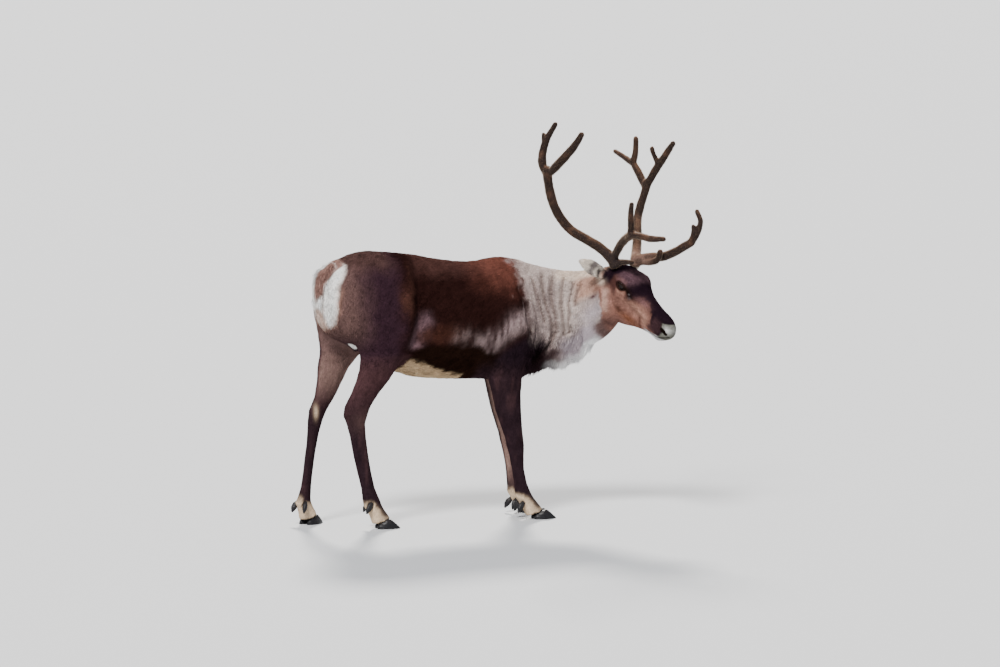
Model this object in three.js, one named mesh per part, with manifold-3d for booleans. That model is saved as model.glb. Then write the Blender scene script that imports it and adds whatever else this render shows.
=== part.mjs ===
// A standing reindeer bull in late-summer coat, life size, in millimetres.
// +X is the way the body faces, +Y its left side, +Z up, with the floor at Z = 0.
// The animal looks back over its right side, so its neck and head bend towards -Y.
// Flesh is lofted and fused as one solid, then parted into nodes by thin cuts.
// Hooves, dewclaws, eyes and antlers are solids of their own that meet the flesh face to face.
import * as THREE from "three";
import { mergeVertices } from "three/addons/utils/BufferGeometryUtils.js";
import Module from "manifold-3d";

const wasm = await Module();
wasm.setup();

// Driving dimensions
const WITHERS = 1100; // height of the withers over the floor
const GAP = 0.3; // clearance between nodes that touch
const ALL = 4000; // side of a block that takes in the whole animal
const HEAD_AT = [456, -296, 1064]; // middle of the skull's top between the antlers
const HEAD_TURN = -72; // heading of the face, degrees from the body's own
const HEAD_DROP = 34; // slope of the face below the horizontal, degrees
const EYE_RADIUS = 21;
const EYE_AT = [80, 66, -40]; // in the head's frame: forward, left, up
const EAR_LENGTH = 146;
const CLAW_LENGTH = 98;
const CLAW_WIDTH = 39;
const CLAW_HEIGHT = 46;
const CLEFT = 4; // space between the two claws of a foot
const CORONET_SLOPE = 0.35; // radians from the level, down towards the heels

const rad = THREE.MathUtils.degToRad;
const vec = (p) => new THREE.Vector3(...p);

// Small solid-making tools

// A closed three.js geometry becomes a solid once its shared vertices are merged.
function solid(geometry) {
  const bare = geometry.clone();
  bare.deleteAttribute("normal");
  bare.deleteAttribute("uv");
  const merged = mergeVertices(bare, 1e-4);
  const make = (triVerts) =>
    new wasm.Manifold(
      new wasm.Mesh({
        numProp: 3,
        vertProperties: merged.attributes.position.array,
        triVerts,
      }),
    );
  const faces = new Uint32Array(merged.index.array);
  const made = make(faces);
  if (made.volume() >= 0) return made;
  for (let i = 0; i < faces.length; i += 3)
    [faces[i + 1], faces[i + 2]] = [faces[i + 2], faces[i + 1]];
  return make(faces);
}

const fuse = (parts) => parts.reduce((whole, part) => whole.add(part));

// The largest closed surface of a solid, which fills a sealed hollow and drops a loose scrap.
function largest(made) {
  return made
    .decompose()
    .reduce((best, body) => (body.volume() > best.volume() ? body : best));
}

// A surface through rings of equally many points, closed by a fan at each end.
function loft(rings) {
  const sides = rings[0].length;
  const points = rings.flat();
  const index = [];
  for (let i = 0; i + 1 < rings.length; i++)
    for (let k = 0; k < sides; k++) {
      const a = i * sides + k;
      const b = i * sides + ((k + 1) % sides);
      index.push(a, b, b + sides, a, b + sides, a + sides);
    }
  const caps = [rings[0], rings[rings.length - 1]];
  caps.forEach((ring, end) => {
    const centre = ring
      .reduce((sum, p) => sum.add(p), new THREE.Vector3())
      .divideScalar(sides);
    const first = end ? (rings.length - 1) * sides : 0;
    points.push(centre);
    for (let k = 0; k < sides; k++) {
      const a = first + k;
      const b = first + ((k + 1) % sides);
      index.push(points.length - 1, ...(end ? [a, b] : [b, a]));
    }
  });
  const geometry = new THREE.BufferGeometry();
  geometry.setFromPoints(points);
  geometry.setIndex(index);
  return solid(geometry);
}

// Rows of numbers drawn through smoothly: t runs from 0 at the first row to 1 at the last.
function along(rows, t) {
  const at = Math.min(Math.max(t, 0), 1) * (rows.length - 1);
  const i = Math.min(Math.floor(at), rows.length - 2);
  const s = at - i;
  const row = (k) => rows[Math.min(Math.max(k, 0), rows.length - 1)];
  const [a, b, c, d] = [row(i - 1), row(i), row(i + 1), row(i + 2)];
  return b.map(
    (_, k) =>
      b[k] +
      0.5 *
        s *
        (c[k] -
          a[k] +
          s *
            (2 * a[k] -
              5 * b[k] +
              4 * c[k] -
              d[k] +
              s * (3 * (b[k] - c[k]) + d[k] - a[k]))),
  );
}

// A rounded outline: half widths to the four sides, and how square its two halves are.
function outline(sides, left, right, up, down, upper = 2, lower = 2) {
  return Array.from({ length: sides }, (_, k) => {
    const angle = (2 * Math.PI * k) / sides;
    const [c, s] = [Math.cos(angle), Math.sin(angle)];
    const power = 2 / (s >= 0 ? upper : lower);
    return [
      Math.sign(c) * Math.abs(c) ** power * (c >= 0 ? left : right),
      Math.sign(s) * Math.abs(s) ** power * (s >= 0 ? up : down),
    ];
  });
}

// A round tube along a curve through [x, y, z, radius] rows, with a domed far end.
function tube(rows, sides, steps, flat = 1) {
  const curve = new THREE.CatmullRomCurve3(rows.map(([x, y, z]) => vec([x, y, z])));
  const rings = [];
  let across = vec([0.3, 0.2, 1]);
  const ring = (t, beyond, shrink) => {
    const ahead = curve.getTangent(t);
    across = across.addScaledVector(ahead, -across.dot(ahead)).normalize().clone();
    const over = ahead.clone().cross(across);
    const radius = along(rows, t)[3];
    const centre = curve.getPoint(t).addScaledVector(ahead, beyond * radius);
    const [wide, deep] = [radius * shrink, radius * shrink * flat];
    rings.push(
      outline(sides, wide, wide, deep, deep).map(([a, b]) =>
        centre.clone().addScaledVector(across, a).addScaledVector(over, b),
      ),
    );
  };
  for (let i = 0; i <= steps; i++) ring(i / steps, 0, 1);
  ring(1, 0.6, 0.6);
  return loft(rings);
}

const BALL_SIDES = 12;
const BALL_RINGS = 8;

function ball(centre, radius) {
  const geometry = new THREE.SphereGeometry(radius, BALL_SIDES, BALL_RINGS);
  geometry.translate(...centre);
  return solid(geometry);
}

// A flat slab square to a direction: one edge lies in an upright lengthwise plane.
function slab(centre, towards, long, wide) {
  const normal = vec(towards).normalize();
  const lengthwise = new THREE.Vector3(0, 1, 0).cross(normal).normalize();
  const geometry = new THREE.BoxGeometry(long, wide, GAP);
  geometry.applyMatrix4(
    new THREE.Matrix4().makeBasis(lengthwise, normal.clone().cross(lengthwise), normal),
  );
  geometry.translate(...centre);
  return solid(geometry);
}

// Parts a solid with a thin slab and returns its smaller and its larger piece.
function part(whole, cut) {
  const bodies = whole.subtract(cut).decompose();
  bodies.sort((a, b) => b.volume() - a.volume());
  if (bodies.length < 2) throw new Error("a slab parts nothing");
  return [bodies[1], bodies[0]];
}

// The head's own frame: forward along the face, left, and up through the skull.
const headForward = vec([
  Math.cos(rad(HEAD_DROP)) * Math.cos(rad(HEAD_TURN)),
  Math.cos(rad(HEAD_DROP)) * Math.sin(rad(HEAD_TURN)),
  -Math.sin(rad(HEAD_DROP)),
]);
const headLeft = new THREE.Vector3(0, 0, 1).cross(headForward).normalize();
const headUp = headForward.clone().cross(headLeft);
const headMatrix = new THREE.Matrix4()
  .makeBasis(headForward, headLeft, headUp)
  .setPosition(...HEAD_AT);
const onHead = (p) => vec(p).applyMatrix4(headMatrix).toArray();
const headWay = (p) => vec(p).transformDirection(headMatrix).toArray();

// Torso: one row for each upright cross-section from the buttocks to the chest
// x, top, bottom, half width, height of the widest place, squareness above and below
const TORSO = [
  [-806, 985, 890, 34, 940, 2, 2],
  [-795, 1016, 840, 76, 940, 2, 2],
  [-765, 1062, 795, 118, 950, 2, 2],
  [-715, 1100, 762, 146, 955, 2, 2],
  [-655, 1126, 738, 165, 950, 2, 2],
  [-592, 1139, 706, 174, 930, 2, 2.1],
  [-500, 1133, 642, 180, 880, 1.95, 2.1],
  [-390, 1121, 602, 193, 830, 1.9, 2.1],
  [-285, 1098, 592, 205, 810, 1.9, 2.1],
  [-186, 1084, 588, 208, 805, 1.85, 2.1],
  [-100, 1084, 585, 202, 810, 1.75, 2.05],
  [-45, 1093, 580, 192, 820, 1.65, 2],
  [0, WITHERS, 576, 182, 830, 1.6, 1.9],
  [55, 1092, 574, 168, 830, 1.7, 1.8],
  [110, 1070, 578, 148, 825, 1.8, 1.8],
  [160, 1036, 604, 122, 820, 2, 1.9],
  [200, 985, 650, 90, 815, 2, 2],
  [222, 920, 720, 45, 815, 2, 2],
];

function torso() {
  const sides = 24;
  const steps = 22;
  const rings = [];
  for (let i = 0; i <= steps; i++) {
    const [x, top, bottom, half, at, upper, lower] = along(TORSO, i / steps);
    rings.push(
      outline(sides, half, half, top - at, at - bottom, upper, lower).map(([y, z]) =>
        vec([x, y, at + z]),
      ),
    );
  }
  return loft(rings);
}

// Neck: crest point, throat point and half width of each section towards the head
const NECK = [
  [-20, 0, 1040, 40, 0, 640, 120],
  [70, -4, 1088, 140, -4, 596, 132],
  [150, -22, 1064, 219, -20, 620, 118],
  [235, -52, 1042, 285, -62, 642, 104],
  [300, -92, 1036, 335, -112, 680, 94],
  [348, -142, 1040, 372, -160, 722, 86],
  [384, -192, 1050, 402, -208, 760, 82],
  [408, -238, 1062, 424, -250, 806, 78],
  [428, -270, 1050, 436, -280, 850, 66],
];

const NECK_UPPER = 1.8; // squareness of a section's upper and lower half
const NECK_LOWER = 1.75;

// A section's middle, its directions to the crest, to the left and on towards the head,
// and its two half sizes
function neckSection(t) {
  const middle = (row) =>
    vec(row.slice(0, 3)).add(vec(row.slice(3, 6))).multiplyScalar(0.5);
  const row = along(NECK, t);
  const ahead = middle(along(NECK, t + 0.01)).sub(middle(along(NECK, t - 0.01))).normalize();
  const up = vec(row.slice(0, 3)).sub(vec(row.slice(3, 6)));
  const deep = up.length() / 2;
  up.normalize();
  const left = up.clone().cross(ahead).normalize();
  return { centre: middle(row), up, left, ahead, deep, half: row[6] };
}

function neck() {
  const sides = 20;
  const steps = 14;
  const rings = [];
  for (let i = 0; i <= steps; i++) {
    const { centre, up, left, deep, half } = neckSection(i / steps);
    rings.push(
      outline(sides, half, half, deep, deep, NECK_UPPER, NECK_LOWER).map(([a, b]) =>
        centre.clone().addScaledVector(left, a).addScaledVector(up, b),
      ),
    );
  }
  return loft(rings);
}

// Repeatable chance, from 0 to 1
let seed = 7;
function chance() {
  seed = (seed * 16807) % 2147483647;
  return seed / 2147483647;
}

// A lock of long hair: a flat blade that leaves the skin, falls back and tapers to a point.
// Its root is sunk into the flesh by a share of its length.
const LOCK_STATIONS = [
  // share of the length, share of the width, lift off the skin
  [-0.2, 0.4, -0.1],
  [0.25, 1, 0.01],
  [0.65, 0.7, 0.03],
  [1, 0.08, -0.02],
];

const LOCK_FLATNESS = 0.24; // thickness over width
const someLean = () => (chance() - 0.5) * 0.3;

function lock({ root, way, out, length, width, lean }, grow = 0) {
  const across = way.clone().cross(out).normalize();
  const over = across.clone().cross(way).normalize();
  const rings = LOCK_STATIONS.map(([share, wide, lift]) => {
    const centre = root
      .clone()
      .addScaledVector(way, share * length)
      .addScaledVector(over, lift * length)
      .addScaledVector(across, lean * share * share * length);
    const [half, thick] = [width * wide + grow, width * wide * LOCK_FLATNESS + grow];
    return outline(4, half, half, thick, thick).map(([a, b]) =>
      centre.clone().addScaledVector(across, a).addScaledVector(over, b),
    );
  });
  return loft(rings);
}

// The ruff hangs in rows of locks from the throat down to the brisket.
const RUFF_ROWS = [0.36, 0.45, 0.54, 0.62, 0.7, 0.77];
const RUFF_LOCKS = 5; // locks across a row
const RUFF_SPREAD = 46; // degrees to each side of the throat's middle line
const RUFF_LENGTH = 130; // a lock at the brisket
const RUFF_WIDTH = 22; // half width of a lock

function ruff() {
  const locks = [];
  RUFF_ROWS.forEach((t, rowNumber) => {
    const { centre, up, left, ahead, deep, half } = neckSection(t);
    for (let i = 0; i < RUFF_LOCKS; i++) {
      const share = (i + (rowNumber % 2 ? 0.25 : 0.75)) / RUFF_LOCKS;
      const angle = rad((share * 2 - 1) * RUFF_SPREAD + (chance() - 0.5) * 8);
      const out = left
        .clone()
        .multiplyScalar(Math.sin(angle))
        .addScaledVector(up, -Math.cos(angle));
      const reach = [Math.abs(Math.sin(angle)) / half, Math.abs(Math.cos(angle)) / deep];
      const distance = (reach[0] ** NECK_LOWER + reach[1] ** NECK_LOWER) ** (-1 / NECK_LOWER);
      const root = centre.clone().addScaledVector(out, distance - 4);
      const way = ahead
        .clone()
        .multiplyScalar(-0.85)
        .addScaledVector(out, 0.28 * Math.cos(angle) ** 3)
        .add(vec([0, 0, -0.35]))
        .normalize();
      const length = RUFF_LENGTH * (1 - 0.4 * t) * (0.85 + 0.3 * chance());
      const width = RUFF_WIDTH * (0.85 + 0.3 * chance());
      locks.push(lock({ root, way, out, length, width, lean: someLean() }));
    }
  });
  return locks;
}

// Legs: one row for each level cross-section, from inside the body down to the fetlock
// height, middle x, middle y, front-to-back size, width, turn of the section in degrees
const FORE_RIGHT = [
  [990, 6, -84, 90, 60, 0],
  [930, 18, -108, 170, 126, 0],
  [850, 28, -115, 214, 140, 0],
  [775, 24, -118, 222, 144, 0],
  [710, 20, -117, 222, 136, 0],
  [650, 8, -115, 204, 122, 0],
  [595, -14, -112, 152, 108, 0],
  [530, -6, -108, 130, 90, 0],
  [460, 4, -105, 116, 78, 0],
  [395, 20, -102, 96, 68, 0],
  [345, 33, -100, 82, 64, 0],
  [312, 38, -100, 80, 62, 0],
  [270, 44, -100, 67, 50, 0],
  [207, 51, -100, 57, 42, 0],
  [150, 62, -100, 60, 42, -3],
  [112, 73, -100, 70, 52, -6],
];
const FORE_LEFT = [
  [990, 14, 84, 90, 60, 0],
  [930, 26, 108, 170, 126, 0],
  [850, 38, 115, 210, 140, 0],
  [775, 44, 116, 222, 144, 0],
  [710, 50, 112, 220, 136, 0],
  [650, 60, 107, 198, 122, 0],
  [595, 58, 103, 150, 108, 0],
  [530, 60, 98, 130, 90, 0],
  [460, 66, 94, 114, 78, 0],
  [395, 76, 90, 96, 68, 0],
  [345, 86, 88, 82, 64, 0],
  [312, 91, 86, 80, 62, 0],
  [270, 96, 86, 67, 50, 0],
  [207, 103, 85, 57, 42, 0],
  [150, 110, 84, 60, 42, 2],
  [112, 118, 84, 70, 52, 4],
];
const HIND_RIGHT = [
  [1070, -610, -78, 190, 96, 0],
  [1010, -606, -98, 280, 128, 0],
  [940, -602, -106, 350, 142, 0],
  [880, -600, -110, 366, 146, 0],
  [830, -596, -112, 336, 142, 0],
  [770, -580, -114, 270, 130, 0],
  [715, -568, -115, 204, 114, 0],
  [660, -584, -116, 168, 94, 0],
  [612, -608, -117, 148, 78, 0],
  [560, -641, -116, 126, 64, 0],
  [508, -674, -114, 118, 56, -2],
  [472, -683, -113, 108, 54, -3],
  [436, -681, -112, 84, 48, -4],
  [385, -672, -112, 72, 42, -5],
  [315, -661, -111, 68, 38, -6],
  [240, -645, -110, 63, 38, -7],
  [170, -628, -110, 60, 42, -8],
  [120, -614, -110, 76, 54, -10],
];
const HIND_LEFT = [
  [1070, -622, 78, 190, 96, 0],
  [1010, -622, 98, 276, 128, 0],
  [940, -620, 106, 330, 142, 0],
  [880, -610, 110, 346, 146, 0],
  [820, -608, 113, 318, 142, 0],
  [760, -626, 115, 272, 128, 0],
  [700, -660, 116, 190, 110, 2],
  [646, -689, 116, 142, 92, 4],
  [590, -706, 115, 118, 76, 8],
  [530, -727, 114, 98, 62, 12],
  [476, -758, 112, 88, 56, 15],
  [436, -771, 111, 74, 52, 17],
  [385, -780, 111, 60, 42, 19],
  [335, -788, 110, 53, 38, 21],
  [280, -797, 110, 49, 37, 23],
  [215, -806, 110, 48, 38, 25],
  [155, -814, 110, 50, 42, 27],
  [115, -822, 110, 62, 52, 28],
];
// Feet: where the fetlock stands, the way the foot points, how far its toe reaches, and
// the height of its dewclaws
const FEET = {
  fore_right: { leg: FORE_RIGHT, at: [78, -100], turn: -8, reach: 136, claws: 58 },
  fore_left: { leg: FORE_LEFT, at: [122, 84], turn: 5, reach: 122, claws: 46 },
  hind_right: { leg: HIND_RIGHT, at: [-606, -110], turn: -10, reach: 112, claws: 92 },
  hind_left: { leg: HIND_LEFT, at: [-827, 110], turn: 28, reach: 104, claws: 80 },
};
// Foot below the fetlock: height, share of the toe's reach, front-to-back size, width
const FOOT = [
  [94, 0, 80, 60],
  [72, 0.12, 80, 62],
  [50, 0.24, 84, 68],
  [30, 0.32, 88, 78],
  [12, 0.38, 84, 82],
];

function legRows({ leg, at, turn, reach }) {
  const [c, s] = [Math.cos(rad(turn)), Math.sin(rad(turn))];
  const foot = FOOT.map(([z, share, deep, wide]) => [
    z,
    at[0] + c * share * reach,
    at[1] + s * share * reach,
    deep,
    wide,
    turn,
  ]);
  return [...leg, ...foot];
}

function legFlesh(foot) {
  const sides = 14;
  const rows = legRows(foot);
  const steps = rows.length - 1;
  const rings = [];
  for (let i = 0; i <= steps; i++) {
    const [z, x, y, deep, wide, turn] = along(rows, i / steps);
    const [c, s] = [Math.cos(rad(turn)), Math.sin(rad(turn))];
    rings.push(
      outline(sides, deep / 2, deep / 2, wide / 2, wide / 2, 2.1, 2.1).map(([a, b]) =>
        vec([x + c * a - s * b, y + s * a + c * b, z]),
      ),
    );
  }
  return loft(rings);
}

// A foot's own frame: forward along the toes, left, and up, over the fetlock's place.
function footMatrix({ at, turn }) {
  return new THREE.Matrix4().makeRotationZ(rad(turn)).setPosition(at[0], at[1], 0);
}

// All space above the coronet, which slopes from high over the toes down to the heels.
function aboveCoronet(foot, offset) {
  const size = ALL;
  const geometry = new THREE.BoxGeometry(size, size, size);
  geometry.translate(0, 0, size / 2 + offset);
  geometry.rotateY(-CORONET_SLOPE);
  geometry.translate(foot.reach - CLAW_LENGTH * 0.66, 0, CLAW_HEIGHT * 0.75);
  geometry.applyMatrix4(footMatrix(foot));
  return solid(geometry);
}

// Everything lower than the floor
const belowFloor = solid(new THREE.BoxGeometry(ALL, ALL, ALL).translate(0, 0, -ALL / 2));

// Back, out, up and radius along a dewclaw, from its root in the fetlock to its tip
const DEWCLAW = [
  [-6, 20, 16, 9],
  [-17, 26, 4, 14],
  [-26, 30, -11, 12.5],
  [-32, 32, -24, 5],
];

// One claw: sections from heel to toe, as share of length, height, half width, inward bend
const CLAW = [
  [0, 0.3, 0.3, 0.02],
  [0.1, 0.5, 0.72, 0.01],
  [0.28, 0.78, 0.98, 0],
  [0.46, 1, 1, 0],
  [0.64, 0.78, 0.86, 0.04],
  [0.8, 0.48, 0.66, 0.12],
  [0.93, 0.22, 0.4, 0.24],
  [1, 0.08, 0.12, 0.32],
];

function claw(foot, side) {
  const steps = 8;
  const heel = foot.reach - CLAW_LENGTH;
  const rings = [];
  for (let i = 0; i <= steps; i++) {
    const [share, high, half, bend] = along(CLAW, i / steps);
    const forward = heel + share * CLAW_LENGTH;
    const across = side * (CLAW_WIDTH / 2 + CLEFT / 2 - bend * CLAW_WIDTH * 0.5);
    const wide = (half * CLAW_WIDTH) / 2;
    rings.push(
      outline(10, wide, wide, high * CLAW_HEIGHT, 12, 2, 3).map(([a, b]) =>
        vec([forward, across + a, b]).applyMatrix4(footMatrix(foot)),
      ),
    );
  }
  return largest(loft(rings).subtract(belowFloor).subtract(aboveCoronet(foot, -GAP)));
}

// A dewclaw hangs behind the fetlock and points back, down and out.
function dewclaw(foot, side, grow = 0) {
  const rows = DEWCLAW.map(([x, y, z, r]) => [
    ...vec([x, side * y, foot.claws + z]).applyMatrix4(footMatrix(foot)).toArray(),
    r + grow,
  ]);
  return tube(rows, 7, 3, 0.8);
}

// Head: one row for each cross-section from the nape to the nose, in the head's frame
// forward, top, bottom, half width, height of the widest place, squareness above and below
const HEAD = [
  [-58, -50, -160, 44, -95, 2, 2],
  [-38, -20, -196, 64, -88, 2.2, 2],
  [0, -4, -222, 72, -70, 2.4, 1.8],
  [42, 4, -236, 76, -58, 2.4, 1.7],
  [85, 4, -232, 75, -52, 2.3, 1.6],
  [130, -4, -214, 62, -58, 2.2, 1.6],
  [180, -14, -186, 47, -66, 2, 1.7],
  [230, -19, -163, 38, -72, 2, 1.85],
  [275, -21, -150, 33, -76, 2, 2],
  [312, -20, -142, 31, -78, 2.1, 2.1],
  [340, -24, -130, 32, -79, 2.1, 2.2],
  [362, -35, -113, 28, -78, 2.1, 2.2],
  [376, -52, -98, 19, -76, 2, 2],
  [381, -64, -86, 9, -75, 2, 2],
];

// Soft swellings of the head, each on both sides: forward, out, up, height and spread
const SWELLINGS = [
  [78, 76, -20, 15, 24], // brow over the eye
  [82, 84, -46, -12, 17], // hollow that the eye sits in
  [112, 66, -74, 6, 34], // cheekbone
  [58, 70, -128, 8, 46], // jaw muscle
  [338, 30, -94, 5, 24], // upper lip
  [334, 8, -140, 6, 20], // chin
];

function swollen([f, y, h], at) {
  const out = vec([0, y, h - at]).normalize();
  const place = vec([f, Math.abs(y), h]);
  const height = SWELLINGS.reduce((sum, [cf, cy, ch, rise, spread]) => {
    const away = place.distanceToSquared(vec([cf, cy, ch]));
    return sum + rise * Math.exp(-away / (2 * spread * spread));
  }, 0);
  return vec([f, y, h]).addScaledVector(out, height).toArray();
}

function headLoft() {
  const steps = 24;
  const rings = [];
  for (let i = 0; i <= steps; i++) {
    const [f, top, bottom, half, at, upper, lower] = along(HEAD, i / steps);
    rings.push(
      outline(24, half, half, top - at, at - bottom, upper, lower).map(([y, z]) =>
        vec(onHead(swollen([f, y, at + z], at))),
      ),
    );
  }
  return loft(rings);
}

// The place on the head's side at a distance along it and a height.
function onSkin(forward, height, side) {
  let i = 0;
  while (i < HEAD.length - 2 && HEAD[i + 1][0] < forward) i++;
  const s = (forward - HEAD[i][0]) / (HEAD[i + 1][0] - HEAD[i][0]);
  const [, top, bottom, half, at, upper, lower] = along(HEAD, (i + s) / (HEAD.length - 1));
  const [reach, power] = height > at ? [top - at, upper] : [at - bottom, lower];
  const out = half * (1 - Math.min(1, Math.abs(height - at) / reach) ** power) ** (1 / power);
  return onHead(swollen([forward, side * out, height], at));
}

const mirrored = (p, side) => [p[0], p[1] * side, p[2]];
const onSide = (p, side) => onHead(mirrored(p, side));

const LID = 3.5; // thickness of the lids over the eyeball
const EYE_SLIT = [20, 12]; // half length and half height of the opening between the lids
const EYE_LOOK = vec([0.3, 0.94, 0.1]).normalize();
const EYE_FORE = vec([0.94, -0.3, -0.22]).normalize();
const eyeball = (side, grow) =>
  ball(onSide(EYE_AT, side), EYE_RADIUS + grow);

// The opening between the lids is an almond that runs out from the eyeball's middle.
function eyeSlit(side) {
  const over = EYE_LOOK.clone().cross(EYE_FORE).negate();
  const [long, high] = EYE_SLIT;
  const ring = (out, scale) =>
    outline(14, long, long, high, high, 1.5, 1.5).map(([a, b]) => {
      const place = vec(EYE_AT)
        .addScaledVector(EYE_LOOK, out)
        .addScaledVector(EYE_FORE, a * scale)
        .addScaledVector(over, b * scale);
      return vec(onSide(place.toArray(), side));
    });
  return loft([ring(EYE_RADIUS * 0.4, 0.8), ring(EYE_RADIUS * 2, 1.2)]);
}

// The line of the closed lips, from below the nose back to the mouth's corner
const MOUTH = [
  [370, -93, 2.5],
  [348, -110, 2.8],
  [322, -122, 2.6],
  [292, -131, 2.4],
  [272, -130, 1.6],
];

function mouthLine(side) {
  const rows = MOUTH.map(([f, h, r]) => [...onSkin(f, h, side), r]);
  return tube([[...onHead([380, 0, -84]), 2.5], ...rows], 5, 7);
}

function nostril(side) {
  const rows = [
    [330, -54, 3.5],
    [345, -63, 6],
    [358, -74, 7],
  ].map(([f, h, r]) => [...onSkin(f, h, side), r]);
  return tube(rows, 7, 3);
}

// Ears: a leaf-shaped shell, cupped along its opening
const EARS = {
  right: { side: -1, at: [-22, 70, -68], way: [-0.46, 0.86, 0.3], open: [0.55, 0.2, 0.35] },
  left: { side: 1, at: [-22, 70, -44], way: [-0.5, 0.8, -0.1], open: [0.6, 0.3, 0.3] },
};
// share of the length, half width, depth of the shell
const EAR = [
  [-0.16, 15, 14],
  [0, 20, 18],
  [0.2, 28, 20],
  [0.42, 33, 18],
  [0.64, 30, 13],
  [0.84, 19, 8],
  [1, 5, 4],
];

// The hollow of the cup is the same leaf, inset all round and moved towards its open side.
function earShape(ear, inset, from) {
  const steps = 8;
  const shift = Math.max(inset, 0) * 1.6;
  const way = vec(headWay(mirrored(ear.way, ear.side)));
  const facing = vec(headWay(mirrored(ear.open, ear.side)));
  const across = way.clone().cross(facing).normalize();
  const front = across.clone().cross(way).normalize();
  const rings = [];
  for (let i = 0; i <= steps; i++) {
    const t = from + (1 - from) * (i / steps);
    const [share, half, deep] = along(EAR, t);
    const centre = vec(onSide(ear.at, ear.side))
      .addScaledVector(way, share * EAR_LENGTH * (1 - inset / 60))
      .addScaledVector(front, shift);
    rings.push(
      outline(12, half - inset, half - inset, deep, deep - inset * 0.6).map(([a, b]) =>
        centre.clone().addScaledVector(across, a).addScaledVector(front, b),
      ),
    );
  }
  return loft(rings);
}

// Antlers in velvet, as curves through [forward, outward, up, radius] in the head's frame.
// Each tine starts inside the piece that carries it, and the two antlers differ a little.
const ANTLERS = {
  right: {
    side: -1,
    beam: [
      [-2, 55, -14, 21],
      [-26, 62, 8, 24],
      [-84, 90, 24, 22],
      [-143, 125, 28, 21],
      [-220, 168, 31, 20.5],
      [-289, 208, 69, 20],
      [-336, 228, 114, 20],
      [-370, 247, 168, 20],
      [-388, 257, 210, 22],
    ],
    tines: {
      brow: [[[0, 54, 14, 11], [15, 55, 31, 11], [60, 49, 62, 9]]],
      bez: [
        [[-26, 64, 26, 17], [-4, 90, 112, 18], [28, 110, 170, 18.5], [62, 131, 214, 18]],
        [[52, 128, 200, 14], [44, 145, 250, 14], [28, 155, 290, 12.5], [13, 160, 331, 8]],
        [[56, 128, 206, 15], [112, 135, 241, 15], [158, 135, 264, 14], [213, 125, 303, 8]],
      ],
      fore: [[[-380, 254, 192, 16], [-350, 260, 270, 19], [-318, 255, 383, 17], [-312, 250, 450, 9]]],
      rear: [
        [[-378, 252, 188, 16], [-428, 260, 217, 18], [-471, 250, 290, 16], [-476, 236, 382, 8]],
        [[-466, 252, 276, 10], [-488, 250, 298, 9], [-500, 250, 316, 6]],
      ],
    },
  },
  left: {
    side: 1,
    beam: [
      [-2, 55, -14, 21],
      [-18, 62, 8, 24],
      [-46, 84, 10, 22],
      [-80, 110, 20, 21],
      [-163, 160, 55, 19],
      [-218, 195, 79, 18],
      [-251, 218, 120, 18],
      [-276, 238, 160, 18],
      [-296, 250, 190, 20],
    ],
    tines: {
      brow: [[[0, 58, 8, 14], [19, 61, 26, 14], [60, 64, 55, 14], [86, 61, 91, 13], [84, 56, 128, 8]]],
      bez: [
        [[-10, 64, 24, 17], [40, 80, 68, 18], [79, 92, 97, 19], [108, 104, 138, 19], [154, 126, 226, 17]],
        [[148, 121, 212, 15], [155, 130, 258, 15], [142, 135, 320, 12], [97, 140, 342, 8]],
        [[150, 120, 226, 10], [150, 116, 268, 10], [134, 114, 294, 6]],
      ],
      fore: [
        [[-288, 244, 174, 16], [-292, 258, 262, 17], [-280, 256, 336, 16], [-262, 247, 420, 9]],
        [[-290, 256, 290, 11], [-328, 240, 321, 10], [-337, 230, 340, 6]],
      ],
      rear: [
        [[-288, 244, 172, 15], [-340, 257, 180, 16], [-382, 258, 194, 16], [-428, 258, 208, 15]],
        [[-410, 258, 203, 13], [-474, 258, 192, 12], [-532, 254, 182, 7]],
        [[-416, 258, 202, 14], [-430, 255, 252, 13], [-452, 245, 307, 8]],
      ],
    },
  },
};

function antlerRows(rows, side) {
  return rows.map(([f, y, h, r]) => [...onHead([f, y * side, h]), r]);
}

// Tail, scrotum: rows of x, z, half thickness front to back, half width, turn of the row
function hangingForm(rows, sides, steps) {
  const rings = [];
  for (let i = 0; i <= steps; i++) {
    const [x, z, thick, half, lean] = along(rows, i / steps);
    const [c, s] = [Math.cos(rad(lean)), Math.sin(rad(lean))];
    rings.push(
      outline(sides, thick, thick, half, half).map(([a, b]) =>
        vec([x + a * c, b, z + a * s]),
      ),
    );
  }
  return loft(rings);
}

const TAIL = [
  [-700, 1098, 16, 26, 60],
  [-744, 1092, 20, 32, 50],
  [-778, 1062, 18, 34, 34],
  [-796, 1018, 16, 32, 14],
  [-803, 976, 12, 24, 4],
  [-806, 950, 6, 11, 0],
];
const TAIL_SIDES = 8;
const TAIL_STEPS = 6;
// The tail's long hair hangs in tiers of locks: share of the way down, length of a lock
const TAIL_TIERS = [
  [0.5, 92],
  [0.72, 76],
];
const TAIL_LOCKS = 3; // locks in a tier, round the back and the sides
const TAIL_SPREAD = 95; // degrees to each side of straight back
const TAIL_LOCK_WIDTH = 15;

const tailForm = (grow) =>
  hangingForm(
    TAIL.map(([x, z, thick, half, lean]) => [x, z, thick + grow, half + grow, lean]),
    TAIL_SIDES,
    TAIL_STEPS,
  );

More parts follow.
